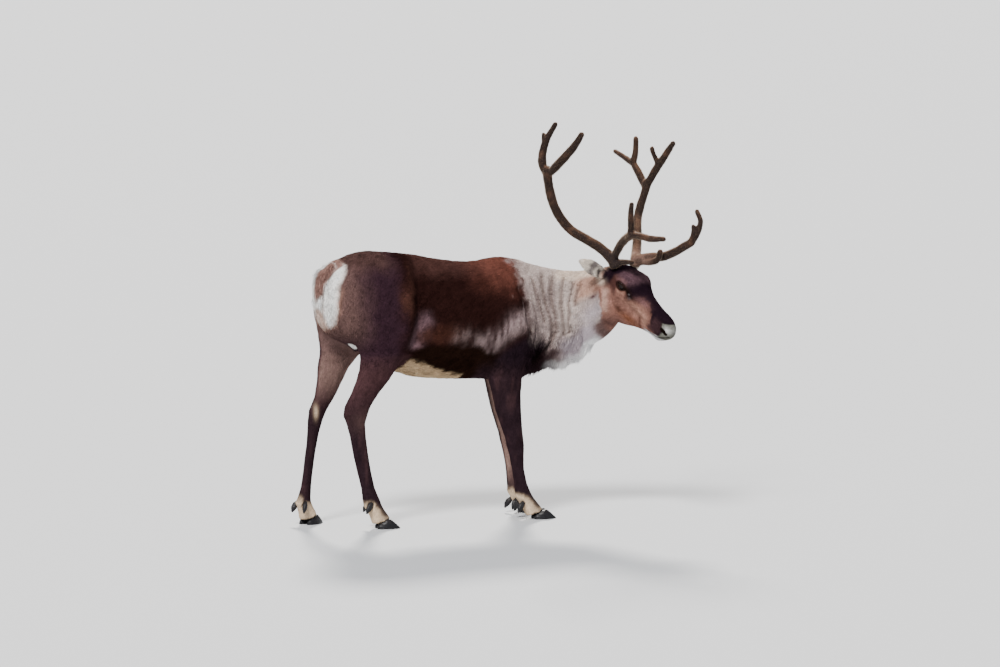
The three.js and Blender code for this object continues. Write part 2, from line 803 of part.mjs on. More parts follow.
const tailLocks = TAIL_TIERS.flatMap(([t, length], tier) =>
  Array.from({ length: TAIL_LOCKS }, (_, i) => {
    const [x, z, thick, half, lean] = along(TAIL, t);
    const share = (i + (tier ? 0.3 : 0.7)) / TAIL_LOCKS;
    const angle = rad((share * 2 - 1) * TAIL_SPREAD);
    const [c, s] = [Math.cos(rad(lean)), Math.sin(rad(lean))];
    const out = vec([-c * Math.cos(angle), Math.sin(angle), -s * Math.cos(angle)]);
    const reach = Math.hypot(Math.cos(angle) / thick, Math.sin(angle) / half);
    const root = vec([x, 0, z]).addScaledVector(out, 1 / reach - 3);
    const way = vec([-0.04, 0.06 * Math.sin(angle), -1]).normalize();
    return { root, way, out, length, width: TAIL_LOCK_WIDTH, lean: someLean() };
  }),
);
const tail = (grow) => fuse([tailForm(grow), ...tailLocks.map((one) => lock(one, grow))]);

const SCROTUM = [
  [-640, 800, 20, 20, 0],
  [-640, 768, 24, 24, 0],
  [-640, 738, 23, 26, 0],
  [-640, 716, 14, 16, 0],
];

const sides = [1, -1];
const scene = new THREE.Group();

function show(name, made, { color, roughness }) {
  const mesh = made.getMesh();
  const geometry = new THREE.BufferGeometry();
  geometry.setAttribute("position", new THREE.BufferAttribute(mesh.vertProperties, 3));
  geometry.setIndex(new THREE.BufferAttribute(mesh.triVerts, 1));
  const node = new THREE.Mesh(
  geometry,
  new THREE.MeshStandardMaterial({ color, roughness, metalness: 0 }),
);
  node.name = name;
  scene.add(node);
}

const LOOKS = {
  body: { color: 0x4a3830, roughness: 0.9 },
  neck: { color: 0x9a8878, roughness: 0.95 },
  face: { color: 0x5a4036, roughness: 0.85 },
  legs: { color: 0x43332c, roughness: 0.9 },
  ear: { color: 0xa79c92, roughness: 0.95 },
  velvet: { color: 0x3f2b23, roughness: 0.95 },
  eye: { color: 0x120b08, roughness: 0.1 },
  horn: { color: 0x1d1a1a, roughness: 0.5 },
};

// Names say which side of the animal a piece is on.
const sideName = (side) => (side > 0 ? "left" : "right");

function tine(rows, side, grow) {
  return tube(
    antlerRows(rows, side).map(([x, y, z, r]) => [x, y, z, r + grow]),
    8,
    rows.length * 2 - 2,
  );
}

function antler(name, { side, beam, tines }) {
  const main = (grow) =>
    tube(antlerRows(beam.map(([f, y, h, r]) => [f, y, h, r + grow]), side), 10, 15);
  show("antler_beam_" + name, main(0), LOOKS.velvet);
  const taken = [main(GAP)];
  for (const [kind, courses] of Object.entries(tines)) {
    const whole = (grow) => fuse(courses.map((course) => tine(course, side, grow)));
    const clear = taken.reduce((made, other) => made.subtract(other), whole(0));
    show("antler_" + kind + "_" + name, largest(clear), LOOKS.velvet);
    taken.push(whole(GAP));
  }
  return main(GAP);
}

const antlerSeats = Object.entries(ANTLERS).map(([name, shape]) => antler(name, shape));

const headShape = fuse([headLoft(), ...sides.map((side) => eyeball(side, LID))]);
const feet = Object.entries(FEET);
let flesh = fuse([
  torso(),
  neck(),
  ...ruff(),
  headShape,
  hangingForm(SCROTUM, 10, 5),
  ...feet.map(([, foot]) => legFlesh(foot).intersect(aboveCoronet(foot, 0))),
]);
for (const side of sides) {
  const ear = EARS[sideName(side)];
  flesh = flesh
    .subtract(eyeball(side, GAP))
    .subtract(eyeSlit(side))
    .subtract(nostril(side))
    .subtract(earShape(ear, -GAP, 0));
  show("eye_" + sideName(side), eyeball(side, 0), LOOKS.eye);
  const shell = earShape(ear, 0, 0).subtract(earShape(ear, 4.5, 0.24));
  const clear = antlerSeats.reduce((made, cut) => made.subtract(cut), shell);
  show("ear_" + sideName(side), largest(clear), LOOKS.ear);
}
for (const side of sides) flesh = flesh.subtract(mouthLine(side));
for (const cut of antlerSeats) flesh = flesh.subtract(cut);
flesh = flesh.subtract(tail(GAP));
show("tail", largest(tail(0)), LOOKS.body);
for (const [name, foot] of feet)
  for (const side of sides) {
    const place = (side > 0 ? "left_" : "right_") + name;
    flesh = flesh.subtract(dewclaw(foot, side, GAP));
    show("dewclaw_" + place, dewclaw(foot, side), LOOKS.horn);
    show("claw_" + place, claw(foot, side), LOOKS.horn);
  }

// The flesh is parted at the nape, the shoulders and where each leg leaves the trunk.
const [head, belowHead] = part(
  flesh,
  slab(onHead([-8, 0, -120]), headWay([0.865, 0, 0.502]), 520, 560),
);
show("head", largest(head), LOOKS.face);
let trunk = belowHead;
for (const [name, foot] of feet) {
  const side = Math.sign(foot.at[1]);
  const fore = name.startsWith("fore");
  const cut = fore
    ? slab([10, side * 115, 621], [0, side, -1], 330, 200)
    : slab([-605, side * 112, 727], [-0.45, side * 0.6, -1], 420, 260);
  const [leg, others] = part(trunk, cut);
  show("leg_" + name, leg, LOOKS.legs);
  trunk = others;
}
const [neckPiece, torsoPiece] = part(trunk, slab([125, 0, 860], [0.99, -0.1, 0.03], 900, 900));
show("neck", neckPiece, LOOKS.neck);
show("torso", torsoPiece, LOOKS.body);

// The origin is on the floor, below the middle of the whole animal.
const extent = new THREE.Box3().setFromObject(scene);
const middle = extent.getCenter(new THREE.Vector3());
scene.position.set(-middle.x, -middle.y, 0);

export default scene;
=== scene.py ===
"""A standing reindeer in its short coat, with a white ruff and antlers in velvet.

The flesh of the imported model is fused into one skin, which is smoothed, sunk by the depth of
the coat and sculpted. Tufts and locks of solid mesh lie over it. Skin and coat take their
colours from the same markings. Lengths are in millimetres in the animal's own frame: the origin
is on the floor below the withers, X forward, Y left, Z up.
"""
import math

import bpy
import numpy as np
from mathutils import Matrix, Vector


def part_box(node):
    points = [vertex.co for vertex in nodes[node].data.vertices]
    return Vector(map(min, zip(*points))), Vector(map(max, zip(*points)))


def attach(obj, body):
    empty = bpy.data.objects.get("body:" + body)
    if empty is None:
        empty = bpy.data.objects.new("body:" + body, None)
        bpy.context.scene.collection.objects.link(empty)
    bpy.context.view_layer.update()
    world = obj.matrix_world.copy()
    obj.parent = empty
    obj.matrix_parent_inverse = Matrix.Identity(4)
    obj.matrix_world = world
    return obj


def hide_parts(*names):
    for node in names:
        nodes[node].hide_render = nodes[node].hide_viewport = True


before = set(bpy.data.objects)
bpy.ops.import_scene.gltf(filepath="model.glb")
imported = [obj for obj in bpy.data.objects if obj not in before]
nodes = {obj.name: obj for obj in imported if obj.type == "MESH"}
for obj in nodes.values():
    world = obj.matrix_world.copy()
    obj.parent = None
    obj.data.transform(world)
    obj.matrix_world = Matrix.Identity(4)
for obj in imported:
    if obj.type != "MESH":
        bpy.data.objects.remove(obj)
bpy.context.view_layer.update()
SEED = 11
rng = np.random.default_rng(SEED)

# The animal's frame

HEAD_AT = np.array([456.0, -296.0, 1064.0])
HEAD_TURN = math.radians(-72)
HEAD_DROP = math.radians(34)
EYE_AT = np.array([80.0, 66.0, -40.0])  # forward, left and up from HEAD_AT
EYE_RADIUS = 21.0

EAR_LENGTH = 146.0
EARS = [  # base and way of the right and the left ear, in the head's frame
    (np.array([-22.0, -70, -68]), np.array([-0.46, -0.86, 0.3]) / 1.0197),
    (np.array([-22.0, 70, -44]), np.array([-0.5, 0.8, -0.1]) / 0.9487),
]

level = math.cos(HEAD_DROP)
head_forward = np.array([level * math.cos(HEAD_TURN), level * math.sin(HEAD_TURN), -math.sin(HEAD_DROP)])
head_left = np.cross([0, 0, 1], head_forward)
head_left /= np.linalg.norm(head_left)
head_up = np.cross(head_forward, head_left)
HEAD_AXES = np.array([head_forward, head_left, head_up])


def on_head(points):
    return HEAD_AT + np.asarray(points, float) @ HEAD_AXES


def in_head(points):
    return (points - HEAD_AT) @ HEAD_AXES.T


def eye_middle():
    corners = [np.array(corner) for name in ("eye_left", "eye_right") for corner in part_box(name)]
    return 1000 * np.mean(corners, axis=0)


SHIFT = on_head([EYE_AT * [1, 0, 1]])[0] - eye_middle()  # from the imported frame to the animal's


def to_model(points):
    return np.asarray(points, float) * 1000 + SHIFT


def to_frame(points):
    return (np.asarray(points, float) - SHIFT) / 1000


# Numbers along rows


def smooth(value, low, high):
    t = np.clip((value - low) / (high - low), 0, 1)
    return t * t * (3 - 2 * t)


def fade(value, low, high):
    return 1 - smooth(value, low, high)


def band(value, low, high, soft):
    return smooth(value, low - soft, low + soft) * fade(value, high - soft, high + soft)


def bell(value, width):
    return np.exp(-((value / width) ** 2))


def blob(u, v, at, size):
    return np.exp(-(((u - at[0]) / size[0]) ** 2 + ((v - at[1]) / size[1]) ** 2))


def mix(a, b, share):
    return a * (1 - share) + b * share


def lay(values, over, mask):
    """Rows of values with others laid over them."""
    return mix(values, over, np.clip(mask, 0, 1)[:, None])


def lengths(vectors):
    return np.linalg.norm(vectors, axis=-1)


def unit(vectors):
    return vectors / (np.linalg.norm(vectors, axis=-1, keepdims=True) + 1e-12)


def flattened(ways, normals):
    """Ways turned to lie on the surface."""
    return unit(ways - normals * np.sum(ways * normals, axis=1, keepdims=True))


def along(rows, t):
    """Rows drawn through smoothly: t runs from 0 at the first row to 1 at the last."""
    at = min(max(t, 0), 1) * (len(rows) - 1)
    i = min(int(at), len(rows) - 2)
    s = at - i
    a, b, c, d = (rows[min(max(i + k, 0), len(rows) - 1)] for k in (-1, 0, 1, 2))
    return b + 0.5 * s * (c - a + s * (2 * a - 5 * b + 4 * c - d + s * (3 * (b - c) + d - a)))


def outline(sides, wide, deep, upper=2.0, lower=2.0):
    angle = 2 * np.pi * np.arange(sides) / sides
    c, s = np.cos(angle), np.sin(angle)
    power = 2 / np.where(s >= 0, upper, lower)
    return np.sign(c) * np.abs(c) ** power * wide, np.sign(s) * np.abs(s) ** power * deep


def loft(rings):
    """A closed shell of triangles through rings of points."""
    rings = np.asarray(rings, float)
    count, sides = rings.shape[:2]
    points = [*rings.reshape(-1, 3), rings[0].mean(0), rings[-1].mean(0)]
    k = np.arange(sides)
    after = (k + 1) % sides
    faces = []
    for i in range(count - 1):
        a, b = i * sides + k, i * sides + after
        faces += [np.stack([a, b, b + sides], 1), np.stack([a, b + sides, a + sides], 1)]
    last = (count - 1) * sides
    first_middle = np.full(sides, count * sides)
    faces += [np.stack([first_middle, after, k], 1)]
    faces += [np.stack([first_middle + 1, last + k, last + after], 1)]
    return np.array(points), np.concatenate(faces)


def wobble(points, scale, seed=0):
    """Smooth noise from -1 to 1 with features of about that size."""
    at = np.asarray(points, float) / scale
    cell = np.floor(at).astype(np.int64)
    part = at - cell
    part = part * part * (3 - 2 * part)
    total = np.zeros(len(at))
    for corner in range(8):
        step = np.array([corner & 1, corner >> 1 & 1, corner >> 2 & 1])
        x, y, z = (cell + step).T
        mixed = (x * 73856093) ^ (y * 19349663) ^ (z * 83492791) ^ (seed * 2654435761)
        mixed = (mixed ^ (mixed >> 13)) * 1274126177 & 0xFFFFFFFF
        mixed = (mixed ^ (mixed >> 16)) & 0xFFFFFF
        weight = np.prod(np.where(step == 1, part, 1 - part), axis=1)
        total += weight * (mixed / 0x7FFFFF - 1)
    return total


def far_from(points, line):
    """Distance of each point from a line through a few places."""
    line = np.asarray(line, float)
    best = np.full(len(points), np.inf)
    for a, b in zip(line[:-1], line[1:]):
        way = b - a
        t = np.clip((points - a) @ way / (way @ way), 0, 1)
        best = np.minimum(best, lengths(points - a - t[:, None] * way))
    return best


def near(u, v, line, width):
    """Nearness, from 0 to 1, to a line through places on a flat map."""
    return bell(far_from(np.stack([u, v], 1), line), width)


# Meshes


def add_object(name, data):
    made = bpy.data.objects.new(name, data)
    bpy.context.scene.collection.objects.link(made)
    return made


def make_mesh(name, points, faces):
    mesh = bpy.data.meshes.new(name)
    faces = np.asarray(faces, np.int32)
    size = faces.shape[1]
    mesh.vertices.add(len(points))
    mesh.vertices.foreach_set("co", to_frame(points).astype(np.float32).ravel())
    mesh.loops.add(faces.size)
    mesh.loops.foreach_set("vertex_index", faces.ravel())
    mesh.polygons.add(len(faces))
    mesh.polygons.foreach_set("loop_start", np.arange(0, faces.size, size, dtype=np.int32))
    mesh.polygons.foreach_set("use_smooth", np.ones(len(faces), bool))
    mesh.update(calc_edges=True)
    return add_object(name, mesh)


def paint(made, colours):
    """Keeps a colour for each vertex."""
    layer = made.data.color_attributes.new("tint", "FLOAT_COLOR", "POINT")
    full = np.ones((len(colours), 4), np.float32)
    full[:, :3] = colours
    layer.data.foreach_set("color", full.ravel())


def read(items, field, width, kind):
    values = np.empty(len(items) * width, kind)
    items.foreach_get(field, values)
    return values.reshape(-1, width)


def node_shell(name):
    mesh = nodes[name].data
    mesh.calc_loop_triangles()
    points = read(mesh.vertices, "co", 3, np.float32)
    return to_model(points), read(mesh.loop_triangles, "vertices", 3, np.int32)


def joined(shells):
    points, faces, start = [], [], 0
    for p, f in shells:
        points.append(p)
        faces.append(f + start)
        start += len(p)
    return np.concatenate(points), np.concatenate(faces)


def split(points, faces):
    """Each triangle becomes four."""
    edges = np.sort(np.concatenate([faces[:, [0, 1]], faces[:, [1, 2]], faces[:, [2, 0]]]), axis=1)
    pairs, back = np.unique(edges, axis=0, return_inverse=True)
    back = back.reshape(3, -1) + len(points)
    points = np.concatenate([points, points[pairs].mean(1)])
    ab, bc, ca = back
    a, b, c = faces.T
    made = [[a, ab, ca], [b, bc, ab], [c, ca, bc], [ab, bc, ca]]
    return points, np.concatenate([np.stack(one, 1) for one in made])


def fused(points, faces, voxel):
    """One closed surface of squares around overlapping shells."""
    lump = make_mesh("lump", points, faces)
    size = lump.modifiers.new("fuse", "REMESH")
    size.mode = "VOXEL"
    size.voxel_size = voxel / 1000
    graph = bpy.context.evaluated_depsgraph_get()
    mesh = bpy.data.meshes.new_from_object(lump.evaluated_get(graph))
    points = read(mesh.vertices, "co", 3, np.float32)
    faces = read(mesh.loops, "vertex_index", 1, np.int32)
    old = lump.data
    bpy.data.objects.remove(lump)
    bpy.data.meshes.remove(old)
    bpy.data.meshes.remove(mesh)
    return to_model(points), faces.reshape(-1, 4)


class Surface:
    """A mesh of squares that is smoothed and pushed about before it becomes an object."""

    def __init__(self, points, faces):
        self.points = points
        self.faces = faces
        pairs = np.concatenate([faces[:, [k, (k + 1) % 4]] for k in range(4)])
        pairs = np.unique(np.sort(pairs, axis=1), axis=0)
        self.a, self.b = pairs.T
        self.degree = self.gather(np.ones(len(points)))

    def gather(self, values):
        count = len(self.points)
        return np.bincount(self.a, values[self.b], count) + np.bincount(self.b, values[self.a], count)

    def mean(self, values):
        if values.ndim == 1:
            return self.gather(values) / self.degree
        return np.stack([self.gather(column) / self.degree for column in values.T], 1)

    def relax(self, rounds, weight=1.0, keep=0.0):
        """Smooths; keep near 1 gives back the size that smoothing takes."""
        weight = np.broadcast_to(np.asarray(weight, float), len(self.points))[:, None]
        for _ in range(rounds):
            self.points = self.points + 0.5 * weight * (self.mean(self.points) - self.points)
            if keep:
                away = self.mean(self.points) - self.points
                self.points = self.points - 0.5 * keep * weight * away

    def normals(self):
        p = self.points[self.faces]
        face = np.cross(p[:, 2] - p[:, 0], p[:, 3] - p[:, 1])
        out = np.zeros_like(self.points)
        for column in range(3):
            for corner in range(4):
                out[:, column] += np.bincount(self.faces[:, corner], face[:, column], len(out))
        return unit(out)

    def soften(self, values, rounds):
        for _ in range(rounds):
            values = 0.5 * values + 0.5 * self.mean(values)
        return values

    def scatter(self, weight, count):
        """Random spots on the squares by area and weight, as a function that reads values there."""
        p = self.points[self.faces]
        chance = lengths(np.cross(p[:, 2] - p[:, 0], p[:, 3] - p[:, 1])) * weight
        picked = rng.choice(len(self.faces), count, p=chance / chance.sum())
        u, v = rng.random((2, count))
        share = np.stack([(1 - u) * (1 - v), u * (1 - v), u * v, (1 - u) * v], 1)[:, :, None]
        return lambda values: (values[self.faces[picked]] * share).sum(1)


# Neck, tail and feet of the source

# crest [x, y, z], throat [x, y, z], half width
NECK = np.array([
    [-20.0, 0, 1040, 40, 0, 640, 120], [70, -4, 1088, 140, -4, 596, 132], [150, -22, 1064, 219, -20, 620, 118],
    [235, -52, 1042, 285, -62, 642, 104], [300, -92, 1036, 335, -112, 680, 94],
    [348, -142, 1040, 372, -160, 722, 86], [384, -192, 1050, 402, -208, 760, 82],
    [408, -238, 1062, 424, -250, 806, 78], [428, -270, 1050, 436, -280, 850, 66],
])
# x, z, half thickness, half width, lean in degrees
TAIL = np.array([
    [-690.0, 1096, 14, 30, 60], [-742, 1091, 18, 40, 50], [-776, 1062, 17, 46, 34],
    [-793, 1018, 15, 44, 14], [-800, 976, 11, 34, 4], [-804, 952, 6, 16, 0],
])
FEET = ["fore_right", "fore_left", "hind_right", "hind_left"]


def neck_section(t):
    def middle(at):
        row = along(NECK, at)
        return (row[:3] + row[3:6]) / 2

    row = along(NECK, t)
    ahead = unit(middle(t + 0.01) - middle(t - 0.01))
    up = row[:3] - row[3:6]
    deep = np.linalg.norm(up) / 2
    up = up / (2 * deep)
    left = unit(np.cross(up, ahead))
    return middle(t), up, left, ahead, deep, row[6]


NECK_RINGS, NECK_SIDES = 41, 36
TAIL_RINGS, TAIL_SIDES = 25, 16
CREST, THROAT_SHAPE = 1.8, 1.75  # powers of the neck's outline, where 2 is an ellipse


def neck_shell():
    rings = []
    for t in np.linspace(0, 1, NECK_RINGS):
        centre, up, left, _, deep, half = neck_section(t)
        wide, tall = outline(NECK_SIDES, half, deep, CREST, THROAT_SHAPE)
        rings.append(centre + wide[:, None] * left + tall[:, None] * up)
    return loft(rings)


def tail_shell():
    rings = []
    for t in np.linspace(0, 1, TAIL_RINGS):
        x, z, thick, half, lean = along(TAIL, t)
        c, s = math.cos(math.radians(lean)), math.sin(math.radians(lean))
        a, b = outline(TAIL_SIDES, thick, half)
        rings.append(np.stack([x + a * c, b, z + a * s], 1))
    return loft(rings)


NECK_STEPS = 120
NECK_SECTIONS = [neck_section(t) for t in np.linspace(0, 1, NECK_STEPS + 1)]
NECK_MAP = np.array([440.0, 200])  # length and half height of the neck, for its flat map


def in_neck(points):
    """Share of the way along the neck, and place across and up in half sizes."""
    best = np.full(len(points), np.inf)
    place = np.zeros((len(points), 3))
    for i, (centre, up, left, _, deep, half) in enumerate(NECK_SECTIONS):
        away = points - centre
        a, b = away @ left / half, away @ up / deep
        off = np.abs(away @ np.cross(left, up)) + 100 * np.maximum(np.hypot(a, b) - 1.6, 0)
        closer = off < best
        best = np.where(closer, off, best)
        place[closer] = np.stack([np.full(closer.sum(), i / NECK_STEPS), a[closer], b[closer]], 1)
    return place


def from_crease(p, line):
    return far_from(np.stack([p.t, p.b], 1) * NECK_MAP, np.array(line) * NECK_MAP)


# The skin

FLESH = ["torso", "head", "ear_left", "ear_right"] + ["leg_" + foot for foot in FEET]
ZOOM_AT = on_head([[140, 0, -70]])[0]
ZOOM_REACH = 290.0  # inside this the skin's squares are ZOOM times finer
ZOOM = 2.9
SKIN_VOXEL, ANTLER_VOXEL, HORN_VOXEL = ((6.8, 3.4, 2.2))


def zoomed(points, way):
    away = points - ZOOM_AT
    r = lengths(away) + 1e-9
    if way > 0:
        out = np.where(r < ZOOM_REACH, r * ZOOM, r + (ZOOM - 1) * ZOOM_REACH)
    else:
        out = np.where(r < ZOOM * ZOOM_REACH, r / ZOOM, r - (ZOOM - 1) * ZOOM_REACH)
    return ZOOM_AT + away * (out / r)[:, None]


flesh = joined([node_shell(name) for name in FLESH] + [neck_shell(), tail_shell()])
flesh = split(*split(*flesh))
flesh = fused(zoomed(flesh[0], 1), flesh[1], SKIN_VOXEL)
skin = Surface(zoomed(flesh[0], -1), flesh[1])

THIGH_FRONT = [600, 650, 700, 740], [-500, -476, -452, -430]  # heights, and x of its front edge there


class Place:
    """Where points are on the animal, in the terms that shape, lie and markings use."""

    def __init__(self, points):
        self.points = points
        self.x, self.y, self.z = points.T
        self.out = np.abs(self.y)
        head = in_head(points)
        self.f, self.side, self.h = head.T
        self.cheek = np.abs(self.side)
        self.t, _, self.b = in_neck(points).T
        behind = smooth(self.f, -60, 0) * smooth(self.z, 700, 760)
        beside = fade(np.hypot(self.cheek, self.h * 0.5 + 40), 150, 210)
        self.head = behind * beside * smooth(self.x, 280, 340)
        eye = np.stack([self.f, self.cheek, self.h], 1) - EYE_AT
        self.eye = lengths(eye)
        self.ear = np.zeros(len(points))
        self.ear_share = np.zeros(len(points))
        for at, way in EARS:
            off = head - at
            share = off @ way / EAR_LENGTH
            away = lengths(off - np.outer(share * EAR_LENGTH, way))
            mask = smooth(share, 0.08, 0.2) * fade(away, 40, 46) * (share < 1.2)
            self.ear_share = np.where(mask > self.ear, share, self.ear_share)
            self.ear = np.maximum(self.ear, mask)
        self.neck = smooth(self.x, 20, 120) * (1 - self.head) * smooth(self.z, 560, 620)
        self.fore = (self.x > -200) & (self.x < 260)
        top = np.where(self.fore, 640, 700)
        self.leg = fade(self.z, top - 60, top + 40) * (1 - self.head)
        front = np.interp(self.z, *THIGH_FRONT)
        self.leg *= np.where(self.fore, 1, fade(self.x - front, -8, 8))
        self.tail = smooth(-self.x, 738, 756) * fade(self.out, 45, 52) * smooth(self.z, 926, 945)


here = Place(skin.points)
trunk = (1 - here.leg) * (1 - here.head)
calm_head = here.head * smooth(here.eye, 22, 40) * (1 - here.ear)
KEEP = 1.03  # gives back slightly more than the smoothing takes
skin.relax(70, trunk * (1 - here.tail))
skin.relax(16, here.leg, KEEP)
skin.relax(12, calm_head, KEEP)
skin.relax(3, here.head, KEEP)

here = Place(skin.points)


def coat_depth(p):
    depth = mix(3.5, 5.0, p.neck)
    depth = mix(depth, 1.8, p.leg)
    depth = mix(depth, 1.0, p.tail)
    face = 1.3 * smooth(p.eye, 24, 44) * (1 - 0.5 * smooth(p.f, 280, 330))
    return mix(mix(depth, face, p.head), 0.3, p.ear)


skin.points = skin.points - skin.normals() * skin.soften(coat_depth(here), 4)[:, None]

# Forms of the skin

# Lines on the right side, as places on the body. Each is a furrow: depth, half width, rim beside it
FURROWS = [
    # fold of skin from the flank down to the stifle
    ([(-402, -90, 1085), (-410, -140, 1010), (-420, -172, 930), (-424, -185, 860), (-438, -172, 770)],
     24, 20, 6),
    # behind the shoulder blade and the upper arm
    ([(-80, -120, 1010), (-95, -160, 940), (-110, -180, 860), (-130, -188, 790), (-160, -165, 700)], 7, 34, 0),
    # between shoulder and neck
    ([(84, -90, 1060), (66, -150, 960), (72, -175, 850), (96, -170, 760), (130, -140, 700)], 7, 20, 2),
    # between the two heads of the thigh
    ([(-640, -150, 1010), (-660, -165, 920), (-650, -160, 820), (-620, -150, 740)], 5, 26, 0),
    # before the upper arm
    ([(40, -160, 830), (66, -150, 760), (60, -140, 690)], 5, 22, 0),
]
# Ridges: height and half width
RIDGES = [
    ([(-20, -70, 1090), (6, -120, 1010), (30, -165, 900), (50, -178, 800)], 5, 26),
    ([(-450, -70, 1100), (-474, -112, 1040), (-474, -150, 960), (-468, -180, 870), (-478, -176, 780)], 11, 30),
    ([(-448, -60, 1106), (-440, -100, 1050), (-437, -130, 980)], 3, 7),
    ([(-560, -60, 1130), (-640, -100, 1090), (-700, -110, 1040)], 4, 36),
    ([(-150, -160, 640), (-120, -176, 720), (-60, -184, 800)], 4, 30),
]
# Creases of the neck, as share along it and place up the side: depth and half width
CREASES = [
    ([(0.075, 0.52), (0.08, 0.25), (0.09, 0.0), (0.1, -0.25)], 6, 10),
    ([(0.22, 0.7), (0.235, 0.45), (0.25, 0.2), (0.27, -0.05)], 4, 8),
    ([(0.3, 0.95), (0.295, 0.75), (0.295, 0.5), (0.3, 0.3), (0.32, 0.08), (0.33, -0.15), (0.31, -0.36)], 6, 8),
    ([(0.375, 0.98), (0.36, 0.68), (0.35, 0.55), (0.35, 0.23), (0.365, 0.0), (0.35, -0.28), (0.32, -0.4),
      (0.29, -0.48), (0.25, -0.58), (0.19, -0.7), (0.13, -0.85)], 9, 9),
    ([(0.45, 0.8), (0.445, 0.66), (0.43, 0.4), (0.43, 0.17), (0.43, -0.08), (0.42, -0.4)], 6, 8),
    ([(0.53, 0.7), (0.52, 0.5), (0.49, 0.2), (0.5, 0.0), (0.47, -0.2), (0.47, -0.4)], 5, 8),
    ([(0.6, 0.6), (0.575, 0.4), (0.56, 0.15)], 3, 8),
]
# Forms on the side of the face, forward and up in the head's frame: height and half width
FACE_FORMS = [
    ([(118, -70), (170, -82), (230, -92)], 3.0, 11),  # cheek ridge
    ([(104, -50), (136, -58), (160, -66)], -2.6, 7),  # groove before the eye
    ([(150, -100), (200, -112), (250, -116)], -2.2, 16),
    ([(60, -110), (70, -150), (100, -180)], 2.5, 24),  # jaw
    ([(196, -50), (250, -62), (300, -66)], -2.0, 13),
    ([(322, -44), (350, -40), (372, -56)], 2.2, 8),  # rim of the nostril
]


def sculpt(surface):
    p = Place(surface.points)
    mirrored = np.stack([p.x, -p.out, p.z], 1)
    body = (1 - p.head) * (1 - p.tail)
    rise = np.zeros(len(p.x))
    for line, depth, half, rim in FURROWS:
        away = far_from(mirrored, line)
        rise -= depth * bell(away, half) * body * (1 - 0.75 * smooth(p.z, 900, 1050))
        rise += rim * bell(away - 1.9 * half, half) * body
    for line, height, half in RIDGES:
        rise += height * bell(far_from(mirrored, line), half) * body
    on_neck = smooth(p.t, 0.02, 0.06) * fade(p.t, 0.7, 0.85) * body * fade(p.b, 0.72, 0.92)
    for line, depth, half in CREASES:
        away = from_crease(p, line)
        rise -= 1.5 * depth * bell(away, half) * on_neck
        rise += 0.6 * depth * bell(away - 2 * half, half) * on_neck
    # ribs just felt under the coat, and hollows of the flank and behind the thigh
    ribs = np.sin(p.x / 17) * smooth(p.x, -400, -340) * fade(p.x, -130, -90)
    rise += 0.8 * ribs * smooth(p.z, 760, 820) * fade(p.z, 960, 1010) * body
    rise -= 9 * blob(p.x, p.z, (-372, 985), (60, 60)) * smooth(p.out, 90, 130) * body
    rise -= 13 * blob(p.x, p.z, (-700, 742), (44, 60)) * (p.x < -600) * smooth(p.out, 60, 100)
    face = p.head * (1 - p.ear)
    for line, height, half in FACE_FORMS:
        rise += height * near(p.f, p.h, line, half) * smooth(p.cheek, 18, 34) * face
    rise += 0.5 * wobble(surface.points, 7, 5) * face * smooth(p.f, 250, 300)
    # tendons of the legs, and unevenness of the trunk
    rise += 0.7 * wobble(surface.points * [1, 1, 0.3], 14, 8) * p.leg
    rise += 1.4 * wobble(surface.points, 60, 9) * body * (1 - p.leg)
    rise += 0.9 * wobble(surface.points, 22, 10) * body * (1 - p.leg)
    surface.points = surface.points + surface.normals() * rise[:, None]


sculpt(skin)
skin.relax(2, np.where(here.head > 0.5, 0.3, 1.0))

# Markings


def tint(r, g, b):
    """A screen colour as linear light."""
    c = np.array([r, g, b], float) / 255
    return np.where(c <= 0.04045, c / 12.92, ((c + 0.055) / 1.055) ** 2.4)


BROWN = tint(36, 19, 17)
BACK = tint(70, 46, 42)
WITHERS = tint(110, 66, 56)
HAUNCH = tint(52, 34, 42)
# paler rear of the thigh: its own colour, lightened further by a painted highlight
THIGH_REAR_TONE_AND_HIGHLIGHT = tint(102, 78, 73)
CROUP = tint(80, 58, 54)
RUST = tint(78, 50, 42)
VIOLET = tint(124, 98, 105)
FLANK_BAND = tint(70, 42, 34)
FLANK_GREY = tint(128, 110, 108)
SHOULDER_LIGHT = tint(158, 136, 136)
PALE_SHOULDER = tint(140, 122, 120)
BLACK = tint(17, 10, 8)
STRIPE = tint(31, 18, 13)
DUSK = tint(32, 22, 28)
CREAM = tint(193, 165, 131)
WHITE = tint(250, 247, 242)
NECK_GREY = tint(150, 134, 130)
NECK_LIGHT = tint(188, 172, 164)
NECK_TAN = tint(176, 138, 120)
NECK_CREAM = tint(212, 190, 172)
NECK_BROWN = tint(112, 80, 70)
NECK_BLOTCH = tint(76, 54, 56)
NECK_SHADOW = tint(98, 82, 76)
NECK_WHITE = tint(178, 166, 170)
LAVENDER = tint(178, 166, 174)
RUFF = tint(240, 238, 238)
THROAT = tint(88, 64, 60)
RUMP_TAN = tint(206, 178, 164)
THIGH_INNER = tint(106, 82, 78)
BROW = tint(112, 80, 80)
CHEEK = tint(146, 105, 93)
CHEEK_PALE = tint(196, 164, 148)
CHEEK_LIGHT = tint(164, 124, 108)
TEMPLE = tint(74, 48, 44)
ORANGE = tint(128, 80, 58)
JAW_DARK = tint(80, 50, 40)
FOREHEAD = tint(92, 68, 75)
# white tip of the muzzle: its own greyish cream painted darker as shade
TIP_GREY_AND_SHADE = tint(104, 103, 95)
NOSE_DARK = tint(28, 17, 25)
MUZZLE = tint(58, 40, 43)
LEG = tint(41, 29, 34)
LEG_UPPER = tint(68, 46, 48)
LEG_SHINE = tint(80, 56, 57)
LEG_INNER = tint(150, 122, 112)
PASTERN = tint(212, 186, 156)
TAIL_BROWN = tint(150, 116, 106)
EAR_PALE = tint(216, 204, 190)
EAR_DARK = tint(70, 60, 68)


